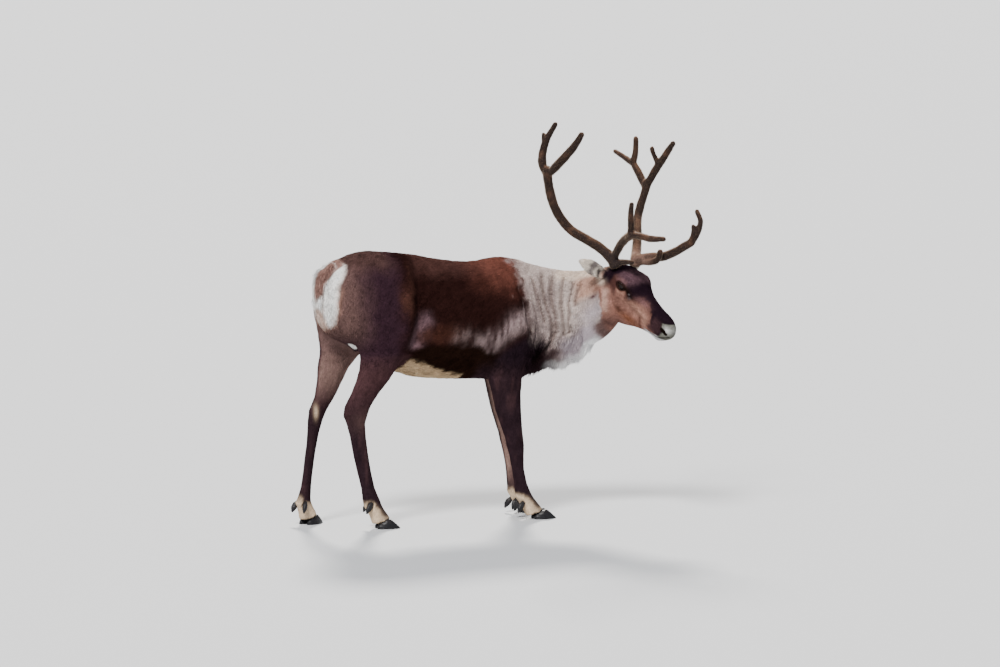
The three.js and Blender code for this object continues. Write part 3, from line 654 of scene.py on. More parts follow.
class Layers:
    """A colour for each point, painted over in turn."""

    def __init__(self, colour, count):
        self.colours = np.tile(colour, (count, 1))

    def lay(self, over, mask):
        self.colours = lay(self.colours, over, mask)


def trunk_markings(p, fur, rough, upright, normals):
    x, z, out = p.x + rough, p.z + 0.8 * rough, p.out
    fur.lay(BACK, smooth(z, 1000, 1080) * band(x, -420, -40, 50))
    fur.lay(WITHERS, smooth(x, -230, 0) * smooth(z, 900, 1080) * (0.85 + 0.2 * upright))
    fur.lay(HAUNCH, smooth(-x, 450, 540))
    # rear of the thigh paler: partly its own colour, partly a painted highlight of the light from behind
    fur.lay(THIGH_REAR_TONE_AND_HIGHLIGHT, smooth(-x, 590, 750) * smooth(z, 700, 820) * 0.85)
    fur.lay(CROUP, smooth(-x, 470, 560) * smooth(z, 1030, 1100) * 0.8)
    fur.lay(RUST, blob(x, z, (-474, 940), (26, 56)) * 0.7)
    fur.lay(RUST, near(x, z, [(-450, 1080), (-444, 1000), (-438, 890)], 10) * 0.25)
    # painted shade down the fold of skin between flank and thigh, fainter towards the top
    fold = far_from(np.stack([p.x, -out, p.z], 1), FURROWS[0][0])
    fur.lay(BLACK, bell(fold, 11) * (0.85 - 0.75 * smooth(p.z, 900, 1030)))
    fur.lay(VIOLET, near(x, z, [(-430, 764), (-402, 850)], 28) * 0.6)
    fur.lay(FLANK_BAND, near(x, z, [(-390, 802), (-260, 795)], 34) * (0.6 + 0.4 * upright))
    fur.lay(FLANK_GREY, near(x, z, [(-240, 785), (-150, 765)], 32) * (0.6 + 0.55 * upright))
    spread = near(x, z, [(-118, 742), (-60, 774), (16, 840)], 34)
    fur.lay(SHOULDER_LIGHT, spread * (0.6 + 0.5 * upright))
    rear = np.interp(z, [700, 760, 800, 850, 900, 960, 1000, 1080], [-110, -100, -20, 40, 72, 66, 58, 62])
    low = np.interp(x, [-120, -80, 0, 60, 100, 150, 190], [690, 712, 768, 796, 800, 786, 756])
    pale = smooth(x - rear + 30 * upright, -36, 46) * smooth(z - low, -16, 70)
    fur.lay(PALE_SHOULDER, pale * (0.9 + 0.25 * upright))
    fur.lay(NECK_LIGHT, pale * blob(x, z, (105, 1010), (40, 80)) * 0.7)
    dark = fade(z - low, -50, 6) * band(x, -130, 175, 40) * smooth(p.z, 560, 600)
    fur.lay(DUSK, dark)
    top = np.interp(x, [-480, -430, -350, -280, -180, -130, -100], [700, 742, 754, 757, 740, 726, 700])
    lower = fade(z - top, -16, 14) * band(x, -450, -70, 26)
    fur.lay(STRIPE, lower * smooth(out, 40, 80))
    soft_x, soft_z = p.x + 0.5 * rough, p.z + 0.5 * rough
    rows = [-520, -452, -400, -366, -300, -220, -165, -95]
    edge = np.interp(soft_x, rows, [730, 702, 684, 672, 651, 631, 625, 613])
    begin = np.interp(p.z, *THIGH_FRONT)
    under = fade(soft_z - edge + 6, -14, 8) * smooth(p.x + 0.4 * rough - begin, -4, 14)
    under = np.maximum(under, fade(out, 50, 80) * (p.z < 690))
    fur.lay(CREAM, np.clip(under, 0, 1) * band(x, -560, -76, 20) * fade(p.leg, 0, 0.3))
    inside = smooth(-normals[:, 1] * np.sign(p.y), 0.0, 0.6) * smooth(-p.x, 560, 610) * band(p.z, 600, 850, 30)
    fur.lay(THIGH_INNER, inside)


def neck_markings(p, fur, rough, streak):
    t, b = p.t + rough * 0.0009, p.b + rough * 0.0024
    neck = smooth(p.x + rough + 20 * streak, 46, 128) * smooth(p.z, 560, 600)
    shade = Layers(NECK_GREY, len(t))
    shade.lay(NECK_LIGHT, band(t, 0.4, 0.64, 0.05) * band(b, -0.4, 0.85, 0.15) * 0.8)
    shade.lay(NECK_LIGHT, smooth(streak, -0.1, 0.8) * 0.5)
    shade.lay(NECK_LIGHT, smooth(b, 0.5, 0.9) * smooth(t, 0.08, 0.16) * 0.7)
    shade.lay(NECK_TAN, band(t, 0.57, 0.9, 0.06) * smooth(b, 0.1, 0.36) * 0.9)
    shade.lay(NECK_CREAM, band(t, 0.4, 0.78, 0.06) * smooth(b, 0.72, 0.9) * 0.95)
    shade.lay(NECK_BROWN, blob(t, b, (0.81, 0.36), (0.055, 0.18)) * 0.9)
    shade.lay(NECK_BLOTCH, blob(t, b, (0.76, 0.17), (0.05, 0.07)))
    shade.lay(NECK_WHITE, blob(t, b, (0.74, -0.27), (0.15, 0.24)) * 0.9)
    shade.lay(RUFF, blob(t, b, (0.88, -0.2), (0.045, 0.2)) * 0.5)
    shade.lay(LAVENDER, band(t, 0.38, 0.72, 0.06) * fade(b, -0.55, -0.35) * 0.8)
    shade.lay(NECK_BROWN, near(t, b, [(0.875, 0.6), (0.87, 0.2)], 0.012) * 0.7)
    for line, _, _ in CREASES:
        groove = bell(from_crease(p, line), 5.5)
        shade.lay(NECK_SHADOW, groove * (0.78 + 0.12 * streak) * fade(b, 0.8, 0.96))
    low = fade(b, -0.5, -0.2) * fade(t, 0.22, 0.32)
    shade.lay(DUSK, low)
    shade.lay(NECK_BLOTCH, blob(t, b, (0.32, -0.66), (0.06, 0.1)) * 0.85)
    shade.lay(BLACK, fade(b, -0.62, -0.45) * fade(t, 0.2, 0.28))
    shade.lay(NECK_BLOTCH, near(t, b, [(0.24, -0.62), (0.12, -0.92)], 0.02) * 0.5)
    shade.lay(THROAT, smooth(t, 0.66, 0.76) * smooth(-b - 0.3 * (t - 0.8), 0.5, 0.68) * 0.9)
    shade.lay(NECK_BLOTCH * 0.6, blob(p.x, p.z, (196, 680), (24, 26)) * 0.85)
    fringe = smooth(t, 0.2, 0.27) * fade(t, 0.64, 0.74)
    shade.lay(RUFF, fringe * fade(b, -0.92, -0.74))
    fur.lay(shade.colours, neck)


def leg_markings(p, fur, rough, normals):
    x, z = p.x + rough, p.z + 0.8 * rough
    leg = fade(z, np.where(p.fore, 600, 640), np.where(p.fore, 700, 760))
    leg = leg * np.where(p.fore, smooth(x, -170, -120), smooth(p.leg, 0, 0.3)) * (p.x < 300)
    shade = Layers(LEG, len(x))
    shade.lay(LEG_UPPER, np.where(p.fore, 0.1, 1) * smooth(z, 380, 620))
    fur.lay(shade.colours, leg)
    inner = smooth(-normals[:, 1] * np.sign(p.y), 0.1, 0.6)
    high = np.where(p.fore, smooth(z, 90, 230), smooth(z, 470, 640))
    fur.lay(LEG_INNER, leg * inner * high * np.where(p.fore, 0.85, 0.55))
    hock = blob(p.x, p.z, (-776, 468), (9, 26)) * (p.y > 0) * smooth(-normals[:, 1], 0, 0.4)
    fur.lay(PASTERN, hock)
    # a painted highlight on the rear edge of the hind leg, in the thigh's rear colour
    fur.lay(THIGH_REAR_TONE_AND_HIGHLIGHT, leg * blob(-p.x, z, (640, 440), (60, 46)) * 0.5)
    behind = smooth(-normals[:, 0], -0.3, 0.6)
    # painted highlights along the tendons of the legs
    tendon_highlight = wobble(p.points * [1, 1, 0.22], 16, 61)
    fur.lay(LEG_SHINE, leg * smooth(tendon_highlight, -0.3, 1.0) * smooth(z, 90, 160) * 0.35)
    pale_foot = (p.x < -700) * 1.0
    top = 96 + 20 * behind
    cover = np.maximum(0.55 + 0.5 * behind, pale_foot)
    fur.lay(PASTERN, leg * fade(z - top, -26, 14) * cover)
    front = smooth(normals[:, 0], -0.1, 0.4) * band(p.z, 50, 100, 10) * (1 - pale_foot)
    fur.lay(LEG, leg * front * 0.85)
    fur.lay(LEG * 0.7, leg * fade(p.z, 22, 36) * (1 - behind) * 0.8)


def rump_markings(p, fur, rough):
    z, out = p.z + 0.5 * rough, p.out
    rows = [800, 835, 880, 940, 1000, 1055, 1085, 1104]
    edge = np.interp(z, rows, [-790, -764, -762, -762, -752, -718, -702, -712])
    wide = np.interp(z, [780, 850, 900, 1000, 1100], [60, 96, 124, 120, 84])
    behind = p.x + 0.4 * rough - edge
    mask = smooth(z, 800, 850) * fade(out, wide, wide + 30) * fade(p.z, 1096, 1112)
    fur.lay(CHEEK_LIGHT, mask * fade(behind, -6, 30) * smooth(-z, -1010, -960) * 0.8)
    mask = mask * fade(behind, -14, 8)
    fur.lay(RUMP_TAN, mask)
    faded = 0.8 * smooth(p.y, 0, 30) * smooth(-z, -940, -870)
    white = np.maximum(smooth(z, 930, 965), smooth(out, 36, 60) * (1 - faded))
    root = np.interp(z, [990, 1030, 1100], [0, 56, 58])
    fur.lay(WHITE, mask * white)
    fur.lay(TAIL_BROWN, smooth(z, 1000, 1030) * fade(out - root, -4, 4) * smooth(-p.x, 700, 716))
    # painted shadow in the gap where the tail's edge meets the buttock
    fur.lay(TAIL_BROWN * 0.5, band(out, 46, 52, 4) * band(p.z, 930, 1015, 12) * smooth(-p.x, 745, 752) * 0.6)
    low = np.interp(p.x, [-806, -795, -785, -775, -765], [974, 984, 994, 1004, 1012])
    tail = np.maximum(p.tail, smooth(-p.x, 730, 744) * fade(out, 44, 52) * smooth(p.z, 1010, 1030))
    rim = smooth(p.y + 0.4 * rough, -2, 12) * fade(p.z, 1092, 1108)
    fur.lay(WHITE, tail)
    fur.lay(TAIL_BROWN, tail * smooth(z - low, -10, 10) * (1 - rim))
    bag = fade(lengths(p.points - [-664, -30, 738]), 20, 28)
    fur.lay(WHITE, bag)


NOSTRIL = [(338, -71), (347, -73), (357, -75), (366, -77)]
# Where the colours of the head begin behind the cheek, going down
HEAD_DOWN = [-40, 0, 60, 80, 112, 140, 165, 180, 205, 240, 300]
HEAD_FROM = [-50, -44, -30, -20, -10, 22, 38, 52, 62, 80, 110]
# Lower limit of the dark bridge of the nose, and rear limit of the white tip
BRIDGE_AT = [-10, 20, 60, 95, 110, 125, 145, 160, 175, 200, 225, 240, 255, 268, 280, 295, 335]
BRIDGE_LOW = [-16, -14, -12, -20, -34, -52, -58, -54, -42, -34, -38, -48, -62, -80, -98, -106, -112]
TIP_UP = [-130, -123, -112, -99, -88, -80, -74, -67, -59, -52, -44, -36, -28]
TIP_AT = [300, 322, 334, 344, 348, 350, 350, 342, 333, 326, 343, 356, 372]


def head_markings(p, fur, rough, streak):
    f, h = p.f + rough * 0.2, p.h + rough * 0.2
    begin = np.interp(-p.h, HEAD_DOWN, HEAD_FROM)
    behind = p.f + 0.5 * rough + 3 * streak - begin
    head = smooth(p.head, 0.3, 0.6) * smooth(behind, -11, 9)
    flank = smooth(p.cheek, 14, 26)
    shade = Layers(CHEEK, len(f))
    shade.lay(CHEEK_PALE, near(f, h, [(32, -104), (50, -140), (64, -170)], 15) * 0.6)
    shade.lay(NECK_BROWN, fade(behind, 8, 22) * band(-p.h, 90, 150, 12) * 0.8)
    shade.lay(THROAT, blob(f, h, (84, -230), (40, 34)) * 0.8)
    shade.lay(NECK_BROWN, blob(f, h, (66, -92), (20, 30)) * 0.5)
    # a paler band along the ridge of the cheek, painted as its highlight
    shade.lay(CHEEK_LIGHT, near(f, h, [(150, -70), (190, -92), (225, -92)], 20) * 0.8)
    shade.lay(NECK_BROWN, near(f, h, [(92, -60), (96, -110), (112, -150)], 12) * 0.5)
    shade.lay(NECK_BROWN, smooth(h, -104, -46) * band(f, 110, 270, 24) * 0.6)
    shade.lay(ORANGE, blob(f, h, (160, -158), (52, 24)) * 0.9)
    shade.lay(JAW_DARK, blob(f, h, (109, -140), (13, 13)) * 0.75)
    shade.lay(JAW_DARK, near(f, h, [(212, -112), (222, -150)], 9) * 0.75)
    shade.lay(CHEEK_LIGHT, blob(f, h, (243, -114), (16, 24)) * 0.8)
    shade.colours *= 1 + 0.14 * streak[:, None]
    shade.lay(TEMPLE, fade(f, 56, 90) * smooth(h, -112, -70))
    shade.lay(NOSE_DARK, fade(f, 4, 34) * smooth(h, -104, -72) * 0.8)
    bridge = h + 4 * streak - np.interp(f, BRIDGE_AT, BRIDGE_LOW)
    shade.lay(TEMPLE, smooth(bridge, -40, 4) * band(f, 112, 262, 14) * 0.6)
    soft = 11 + 18 * band(f, 112, 190, 10)
    shade.lay(NOSE_DARK, smooth(bridge / soft, -1, 0.75))
    shade.lay(FOREHEAD, band(f, 26, 116, 20) * smooth(h, -34, -10) * (0.8 + 0.25 * streak))
    shade.lay(BROW, blob(f, h, (198, -46), (32, 13)) * 0.8)
    shade.lay(BROW, blob(f, h, (58, -26), (30, 9)) * 0.7)
    side = smooth(f - 0.3 * (h + 90) + 6 * streak, 250, 280) * fade(f, 328, 352)
    shade.lay(MUZZLE, side * band(h, -124, -54, 14) * flank * 0.9)
    shade.lay(BLACK, near(f, h, [(108, -38), (140, -54)], 11) * 0.95 * flank)
    # lids, and the paler rings above and below them
    away = np.hypot((p.f - 82) / 29, (p.h + 41) / 21)
    ring = bell(away - 1.36, 0.17) * smooth(p.cheek, 40, 55)
    shade.lay(CHEEK_LIGHT, ring * smooth(-h - 0.2 * f, 30, 40) * 0.6 * band(f, 64, 104, 8))
    shade.lay(BROW, ring * smooth(h + 0.5 * f, 8, 24) * fade(f, 74, 98) * 0.6)
    shade.lay(BLACK, fade(away, 0.84, 1.08) * smooth(p.cheek, 40, 55) * 0.85)
    for f_at, h_at, size, share in ((131, -50, 4, 0.32), (139, -64, 7, 0.08)):
        spot = np.exp(-((np.hypot(p.f - f_at, p.h - h_at) / size) ** 4))
        shade.lay(NECK_WHITE, spot * share * flank)
    # muzzle: white tip and lip, mouth and nostril
    tip = smooth(p.f + rough * 0.2 + 2 * streak - np.interp(p.h, TIP_UP, TIP_AT), -5, 6)
    # the white tip of the muzzle: its own greyish cream darkened by painted shade, with a painted highlight
    # laid over its middle
    shade.lay(TIP_GREY_AND_SHADE, tip)
    shade.lay(RUFF, blob(p.f, p.h, (360, -62), (16, 13)) * tip * 0.55)
    lip = smooth(f, 236, 262) * fade(h - np.interp(f, [250, 290, 330], [-138, -128, -112]), -6, 6)
    shade.lay(RUFF * 0.72, lip)
    mouth = near(p.f, p.h, [(378, -86), (370, -93), (348, -110), (322, -122), (292, -131), (268, -131)], 2.6)
    shade.lay(BLACK, mouth * 0.9 * smooth(p.cheek, 4, 10))
    nostril = far_from(np.stack([p.f, p.h], 1), NOSTRIL)
    shade.lay(BLACK, fade(nostril, 4.5, 8) * smooth(p.cheek, 8, 16))
    fur.lay(shade.colours, head)


def ear_markings(p, fur, normals):
    on_side = np.stack([p.f, p.cheek, p.h], 1)
    base = fade(lengths(on_side - [-6, 56, 4]), 34, 54)
    bridge = blob(p.f, p.cheek, (0, 0), (40, 70)) * smooth(p.h, -40, -16)
    root = fade(lengths(on_side - [-14, 66, -46]), 26, 44)
    base = np.maximum(np.maximum(base, np.clip(bridge * 1.3, 0, 1)), root * 0.9)
    fur.lay(NOSE_DARK, base * smooth(p.x, 330, 380))
    fur.lay(EAR_PALE, p.ear)
    inside = smooth(normals @ head_forward, -0.5, 0.1)
    patchy = 0.08 * wobble(p.points, 12, 35)
    fur.lay(EAR_DARK, p.ear * inside * band(p.ear_share + patchy, 0.34, 0.54, 0.08) * 0.75)
    dark = p.ear * fade(p.ear_share + patchy, 0.16, 0.3) * smooth(normals @ head_up, -0.5, 0.1)
    tuft = blob(p.f, p.h, (-22, -92), (24, 15)) * (p.cheek > 50)
    fur.lay(NECK_CREAM, tuft)
    fur.lay(NOSE_DARK, dark)


def markings(points, normals):
    p = Place(points)
    rough = 15 * wobble(points, 55, 21) + 9 * wobble(points, 20, 22) + 5 * wobble(points, 8, 23)
    upright = wobble(points * [1, 0.4, 0.22], 15, 24) + 0.6 * wobble(points * [1, 0.4, 0.3], 8, 25)
    streak = wobble(points * [1, 1, 0.14], 13, 31) + 0.7 * wobble(points * [1, 1, 0.2], 6, 32)
    fine = wobble(points, 9, 33) + 0.7 * wobble(points, 4.5, 34)
    fur = Layers(BROWN, len(points))
    trunk_markings(p, fur, rough, upright, normals)
    neck_markings(p, fur, rough, streak)
    leg_markings(p, fur, rough, normals)
    rump_markings(p, fur, rough)
    head_markings(p, fur, rough, fine)
    ear_markings(p, fur, normals)
    shade = 1 + 0.14 * wobble(points, 26, 41) + 0.1 * wobble(points, 9, 42)
    return np.clip(fur.colours * shade[:, None], 0, 1)


skin_normals = skin.normals()

# Lie of the coat


def lie_of_coat(points, normals):
    """Ways in which the hair lies: backward on the trunk, downward on shoulder, thigh and legs."""
    p = Place(points)
    outward = np.outer(np.sign(p.y), [0, 1, 0])
    to_cheek = np.outer(np.sign(p.side), head_left)
    way = np.outer(-0.35 - 0.5 * smooth(p.out, 60, 190), [0, 0, 1]) - [1, 0, 0]
    way = lay(way, [-0.35, 0, -1], smooth(-p.x, 470, 620))
    way = lay(way, 0.1 * outward + [-0.45, 0, -1], smooth(p.x, -90, 20) * fade(p.z, 1000, 1090))
    ahead = np.array([section[3] for section in NECK_SECTIONS])[(p.t * NECK_STEPS).astype(int)]
    fall = 0.7 + 0.6 * smooth(-p.b, -0.2, 0.6)
    way = lay(way, -0.55 * ahead - np.outer(fall, [0, 0, 1]), p.neck)
    way = lay(way, [-0.25, 0, -1], p.leg)
    way = lay(way, [0.5, 0, -1], smooth(-p.z, -110, -50))
    fall = 0.15 + 0.9 * smooth(p.cheek, 20, 60) * fade(p.f, 200, 330)
    head_way = 0.3 * to_cheek - head_forward - np.outer(fall, head_up)
    head_way = lay(head_way, to_cheek - 0.5 * head_up, smooth(p.f, 330, 390))
    way = lay(way, head_way, p.head)
    way = lay(way, 0.86 * to_cheek - 0.46 * head_forward + 0.1 * head_up, p.ear)
    way = lay(way, 0.2 * outward + [-0.2, 0, -1], p.tail)
    swirl = np.stack([wobble(points, 70, 50 + k) + 0.6 * wobble(points, 24, 60 + k) for k in range(3)], 1)
    return flattened(unit(way) + 0.16 * swirl, normals)


skin_lie = lie_of_coat(skin.points, skin_normals)
for _ in range(8):
    skin_lie = flattened(unit(skin_lie + 0.8 * skin.mean(skin_lie)), skin_normals)


def streaks(points, lies, fine, seed):
    """Noise drawn out along the lie of the coat, as hair parts and clumps."""
    total = np.zeros(len(points))
    for k in range(-3, 4):
        total += wobble((points + lies * (k * 0.9 * fine)[:, None]) / fine[:, None], 1.0, seed)
    return total / 3.2


here = Place(skin.points)
grain = streaks(skin.points, skin_lie, 1.6 * mix(6.5 * (1 - 0.35 * here.leg), 2.8, here.head), 102)
ruffle = mix(0.55 * (1 - 0.5 * here.leg), 0.22, here.head)
skin.points = skin.points + skin_normals * (grain * ruffle * (here.eye > 30))[:, None]
skin_colour = markings(skin.points, skin_normals)
skin_colour = np.clip(skin_colour * (1 + 0.12 * grain.clip(-2, 2))[:, None], 0, 1)

# Materials


def material(name):
    made = bpy.data.materials.new(name)
    made.use_nodes = True
    tree = made.node_tree
    return made, tree, tree.nodes["Principled BSDF"]


def link(tree, source, target):
    tree.links.new(source, target)


def node(tree, kind, values, links):
    """A shader node with constants and links on its sockets."""
    made = tree.nodes.new("ShaderNode" + kind)
    for socket, value in values.items():
        made.inputs[socket].default_value = value
    for socket, source in links.items():
        link(tree, source, made.inputs[socket])
    return made


def noise_node(tree, scale, detail, stretch=None):
    place = node(tree, "TexCoord", {}, {}).outputs["Object"]
    if stretch:
        place = node(tree, "Mapping", {"Scale": stretch}, {"Vector": place}).outputs["Vector"]
    return node(tree, "TexNoise", {"Scale": scale, "Detail": detail}, {"Vector": place}).outputs["Fac"]


def ranged(tree, factor, low, high, ends=(0.0, 1.0)):
    values = {"From Min": ends[0], "From Max": ends[1], "To Min": low, "To Max": high}
    return node(tree, "MapRange", values, {"Value": factor}).outputs["Result"]


def tinted(tree, factor, low, high):
    """The painted colour, made darker and lighter by a pattern."""
    source = node(tree, "Attribute", {}, {})
    source.attribute_name = "tint"
    scaled = node(tree, "VectorMath", {}, {})
    scaled.operation = "SCALE"
    link(tree, source.outputs["Color"], scaled.inputs[0])
    link(tree, ranged(tree, factor, low, high, (0.3, 0.7)), scaled.inputs["Scale"])
    return scaled.outputs["Vector"]


def painted_look(name, pattern, low, high, sockets, relief=None):
    """A material with the painted colour under a noise of (scale, detail, stretch).

    Relief is the noise, strength and distance of a bump. With no noise of its own it takes the colour's.
    """
    made, tree, shader = material(name)
    noise = noise_node(tree, *pattern)
    link(tree, tinted(tree, noise, low, high), shader.inputs["Base Color"])
    for socket, value in sockets.items():
        shader.inputs[socket].default_value = value
    if relief:
        pattern, strength, distance = relief
        height = noise_node(tree, *pattern) if pattern else noise
        bump = node(tree, "Bump", {"Strength": strength, "Distance": distance}, {"Height": height})
        link(tree, bump.outputs["Normal"], shader.inputs["Normal"])
    return made


UPRIGHT = (1, 1, 0.3)  # stretch of a noise that is drawn out up and down
HIDE_SOCKETS = {"Roughness": 0.72, "Specular IOR Level": 0.0}
HIDE_RELIEF = (300, 4, UPRIGHT), 0.6, 0.0012
HIDE = painted_look("short_hair", (420, 3, UPRIGHT), 0.72, 1.25, HIDE_SOCKETS, HIDE_RELIEF)
HAIR = painted_look("coat_hair", (260, 2), 0.9, 1.1, {"Roughness": 0.62, "Specular IOR Level": 0.0})
VELVET_SOCKETS = {
    "Roughness": 0.85, "Specular IOR Level": 0.2,
    "Sheen Weight": 0.8, "Sheen Roughness": 0.3, "Sheen Tint": (0.82, 0.6, 0.45, 1),
}
VELVET = painted_look("velvet", (190, 5), 0.62, 1.3, VELVET_SOCKETS, ((420, 4), 0.7, 0.0012))
RINGS = (60, 4, (0.4, 0.4, 6))
HORN = painted_look("hoof_horn", RINGS, 0.65, 1.35, {"Specular IOR Level": 0.3}, (None, 0.5, 0.001))
horn_tree = HORN.node_tree
horn_rough = ranged(horn_tree, noise_node(horn_tree, 120, 3), 0.35, 0.62)
link(horn_tree, horn_rough, horn_tree.nodes["Principled BSDF"].inputs["Roughness"])
EYE_SOCKETS = {
    "Roughness": 0.12, "Specular IOR Level": 0.15, "Coat Weight": 0.1, "Coat Roughness": 0.04, "Coat IOR": 1.38,
}
EYE = painted_look("eye_gloss", (700, 4), 0.7, 1.3, EYE_SOCKETS)


def dress(made, look, replaced=()):
    made.data.materials.append(look)
    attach(made, "root")
    if replaced:
        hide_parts(*replaced)


UNDERCOAT = 0.8  # the skin's share of the coat's brightness
skin_object = make_mesh("skin", skin.points, skin.faces)
paint(skin_object, skin_colour * UNDERCOAT)
dress(skin_object, HIDE, FLESH + ["neck", "tail"])

# Tufts and locks

PATCH = 0.003  # width of a tuft's place on the unwrap
TUFT_ROOT, LOCK_ROOT = 0.8, 1.5  # depth of the roots below the skin


def unwrap(points, normals, part):
    """A flat place for each root: each of a region's parts is laid out by the side it faces."""
    axis = np.argmax(np.abs(normals), axis=1)
    sign = np.take_along_axis(normals, axis[:, None], 1)[:, 0] > 0
    others = np.array([[1, 2], [0, 2], [0, 1]])[axis]
    flat = np.take_along_axis(points, others, 1)
    chart = part * 6 + axis * 2 + sign
    kinds, index = np.unique(chart, return_inverse=True)
    columns = int(math.ceil(math.sqrt(len(kinds))))
    rows = int(math.ceil(len(kinds) / columns))
    uv = np.zeros((len(points), 2))
    for k in range(len(kinds)):
        of = index == k
        low, high = flat[of].min(0), flat[of].max(0)
        scaled = (flat[of] - low) / np.maximum(high - low, 1)
        corner = np.array([k % columns, k // columns])
        uv[of] = (corner + 0.04 + 0.9 * scaled) / [columns, rows]
    return uv


def three_sided(centre, side, over, half, height):
    """One ring of each hair: two corners beside its middle line and one over it."""
    half = half[:, None]
    return np.stack([centre - side * half, centre + side * half, centre + over * (height * half)], 1)


def hairs(name, roots, normals, rings, ends, base, tip, part):
    """Closed three-sided hairs in one mesh, each with its own place on the unwrap."""
    stations = len(rings)
    points = np.concatenate([*rings, ends[:, None]], 1).reshape(-1, 3)
    tints = [np.repeat(mix(base, tip, i / stations)[:, None], 3, 1) for i in range(stations)]
    faces = [[0, 1, 2]]
    for i in range(stations - 1):
        for k in range(3):
            a, b = 3 * i + k, 3 * i + (k + 1) % 3
            faces += [[a, b + 3, b], [a, a + 3, b + 3]]
    last = 3 * (stations - 1)
    faces += [[last + k, last + 3, last + (k + 1) % 3] for k in range(3)]
    starts = np.arange(len(roots)) * (last + 4)
    whole = (starts[:, None, None] + np.array(faces)).reshape(-1, 3)
    piece = make_mesh(name, points, whole)
    paint(piece, np.concatenate([*tints, tip[:, None]], 1).reshape(-1, 3))
    in_patch = np.array([[k / 2, i / stations] for i in range(stations) for k in range(3)] + [[0.5, 1]])
    uv = (unwrap(roots, normals, part)[:, None] + PATCH * in_patch).reshape(-1, 2)
    layer = piece.data.uv_layers.new(name="OFBake")
    layer.data.foreach_set("uv", uv[whole.ravel()].astype(np.float32).ravel())
    dress(piece, HAIR)


def tufts(name, slot, roots, normals, lies, length, width, lift, curl, base, tip, stations, part):
    """Each tuft rises from just below the skin and bends along it."""

    def middle(s):
        rise = np.sin(lift) * s * length + curl * length * s * s - TUFT_ROOT
        return roots + lies * (np.cos(lift) * s * length)[:, None] + normals * rise[:, None]

    side = np.cross(lies, normals)
    rings = []
    for s in np.arange(stations) / stations:
        half = 0.5 * width * (1 - s**2.2) * (0.75 + 0.5 * min(1, 3 * s))
        rings.append(three_sided(middle(s), side, normals, half, 0.9))
    hairs(name, roots, normals, rings, middle(1), base, tip, part)


def skin_spots(weight, count):
    """Roots spread over the skin by weight, with what the skin says there."""
    at = skin.scatter(weight, count)
    normals = unit(at(skin_normals))
    return at(skin.points), normals, flattened(at(skin_lie), normals), at(skin_colour)


def turned(lies, normals, angle):
    return lies * np.cos(angle)[:, None] + np.cross(normals, lies) * np.sin(angle)[:, None]


def quarter(w):
    return (w.x > 0) * 2 + (w.y > 0)


p = Place(skin.points[skin.faces].mean(1))  # the middles of the squares
bare = fade(p.eye, 23, 27) * (p.cheek > 40)
nostril = far_from(np.stack([p.f, p.h], 1), NOSTRIL)
bare = np.maximum(bare, fade(nostril, 4, 7) * (p.head > 0.5) * (p.cheek > 8))
sole = (p.z < 24) * 1.0
haired = (1 - bare) * (1 - sole)
is_face = smooth(p.head, 0.3, 0.6)
is_neck = p.neck * (1 - is_face) * fade(-p.z, -640, -600)
is_leg = p.leg * (1 - is_face)
is_body = (1 - is_face) * (1 - is_neck) * (1 - is_leg)
haired_face, haired_neck = is_face * haired, is_neck * haired
SHARE = 1.0


def grizzled(w):
    """Share of the tufts that have a pale tip."""
    shoulder = smooth(w.x, -140, -40) * fade(w.x, 200, 300) * band(w.z, 730, 1040, 20)
    thigh = smooth(-w.x, 500, 640) * band(w.z, 640, 1060, 30)
    return 0.06 + 0.3 * np.maximum(shoulder, 0.9 * thigh) * (1 - w.leg)


def coat(name, weight, count, pieces, length, width, lift, spread, contrast, stations):
    """Short coat of one region: the sizes are functions of the place."""
    each = int(count * SHARE / pieces)
    for number in range(1, pieces + 1):
        roots, normals, lies, colours = skin_spots(weight, each)
        where = Place(roots)
        lies = turned(lies, normals, rng.normal(0, spread, each) + 0.12 * wobble(roots, 18, 72))
        vary = 1 + 0.22 * rng.normal(0, 1, each).clip(-2, 2)
        long = length(where) * vary * (1 + 0.15 * wobble(roots, 12, 71))
        wide = width(where) * (0.8 + 0.4 * rng.random(each)) * 1.0 ** 0.7
        rise = lift(where) * (1 + 0.5 * rng.normal(0, 1, each).clip(-1.5, 2))
        grain = streaks(roots, lies, mix(5.5, 2.8, where.head), 101) + 0.8 * wobble(roots, 7, 103)
        coarse = 0.34 - 0.12 * where.neck * smooth(where.t, 0.2, 0.36)
        bright = np.exp(contrast * rng.normal(0, 1, each).clip(-2, 2) + coarse * grain)[:, None]
        pale = np.where(rng.random(each) < grizzled(where), 2.0, 1.15)[:, None]
        white = smooth(colours.mean(1), 0.4, 0.8)[:, None]
        base = np.clip(colours * bright * (0.6 + 0.35 * white), 0, 1)
        tip = np.clip(colours * bright * pale, 0, 0.97)
        place = f"{name}_{number}", name, roots, normals, lies
        tufts(*place, long, wide, rise, -0.02, base, tip, stations, quarter(where))


def body_length(w):
    return mix(13 + 4 * smooth(-w.z, -720, -640) + 6 * smooth(-w.x, 740, 780), 34, w.tail)


def body_lift(w):
    return 0.11 + 0.08 * smooth(w.z, 1060, 1110)


def neck_length(w):
    return 11 + 15 * smooth(-w.b, 0.1, 0.7)


def face_length(w):
    near_eye = 0.5 + 0.5 * smooth(w.eye, 28, 50)
    return (7 - 2.8 * smooth(w.f, 200, 330)) * near_eye


def face_width(w):
    return 1.25 - 0.4 * smooth(w.f, 200, 330)


def leg_length(w):
    return 8 + 3 * smooth(w.z, 300, 600)


def even(size):
    return lambda w: size + 0 * w.x


body_weight = is_body * haired * (1 + 1.2 * p.tail)
face_weight = haired_face * (1 + 0.8 * smooth(-p.eye, -70, -40))
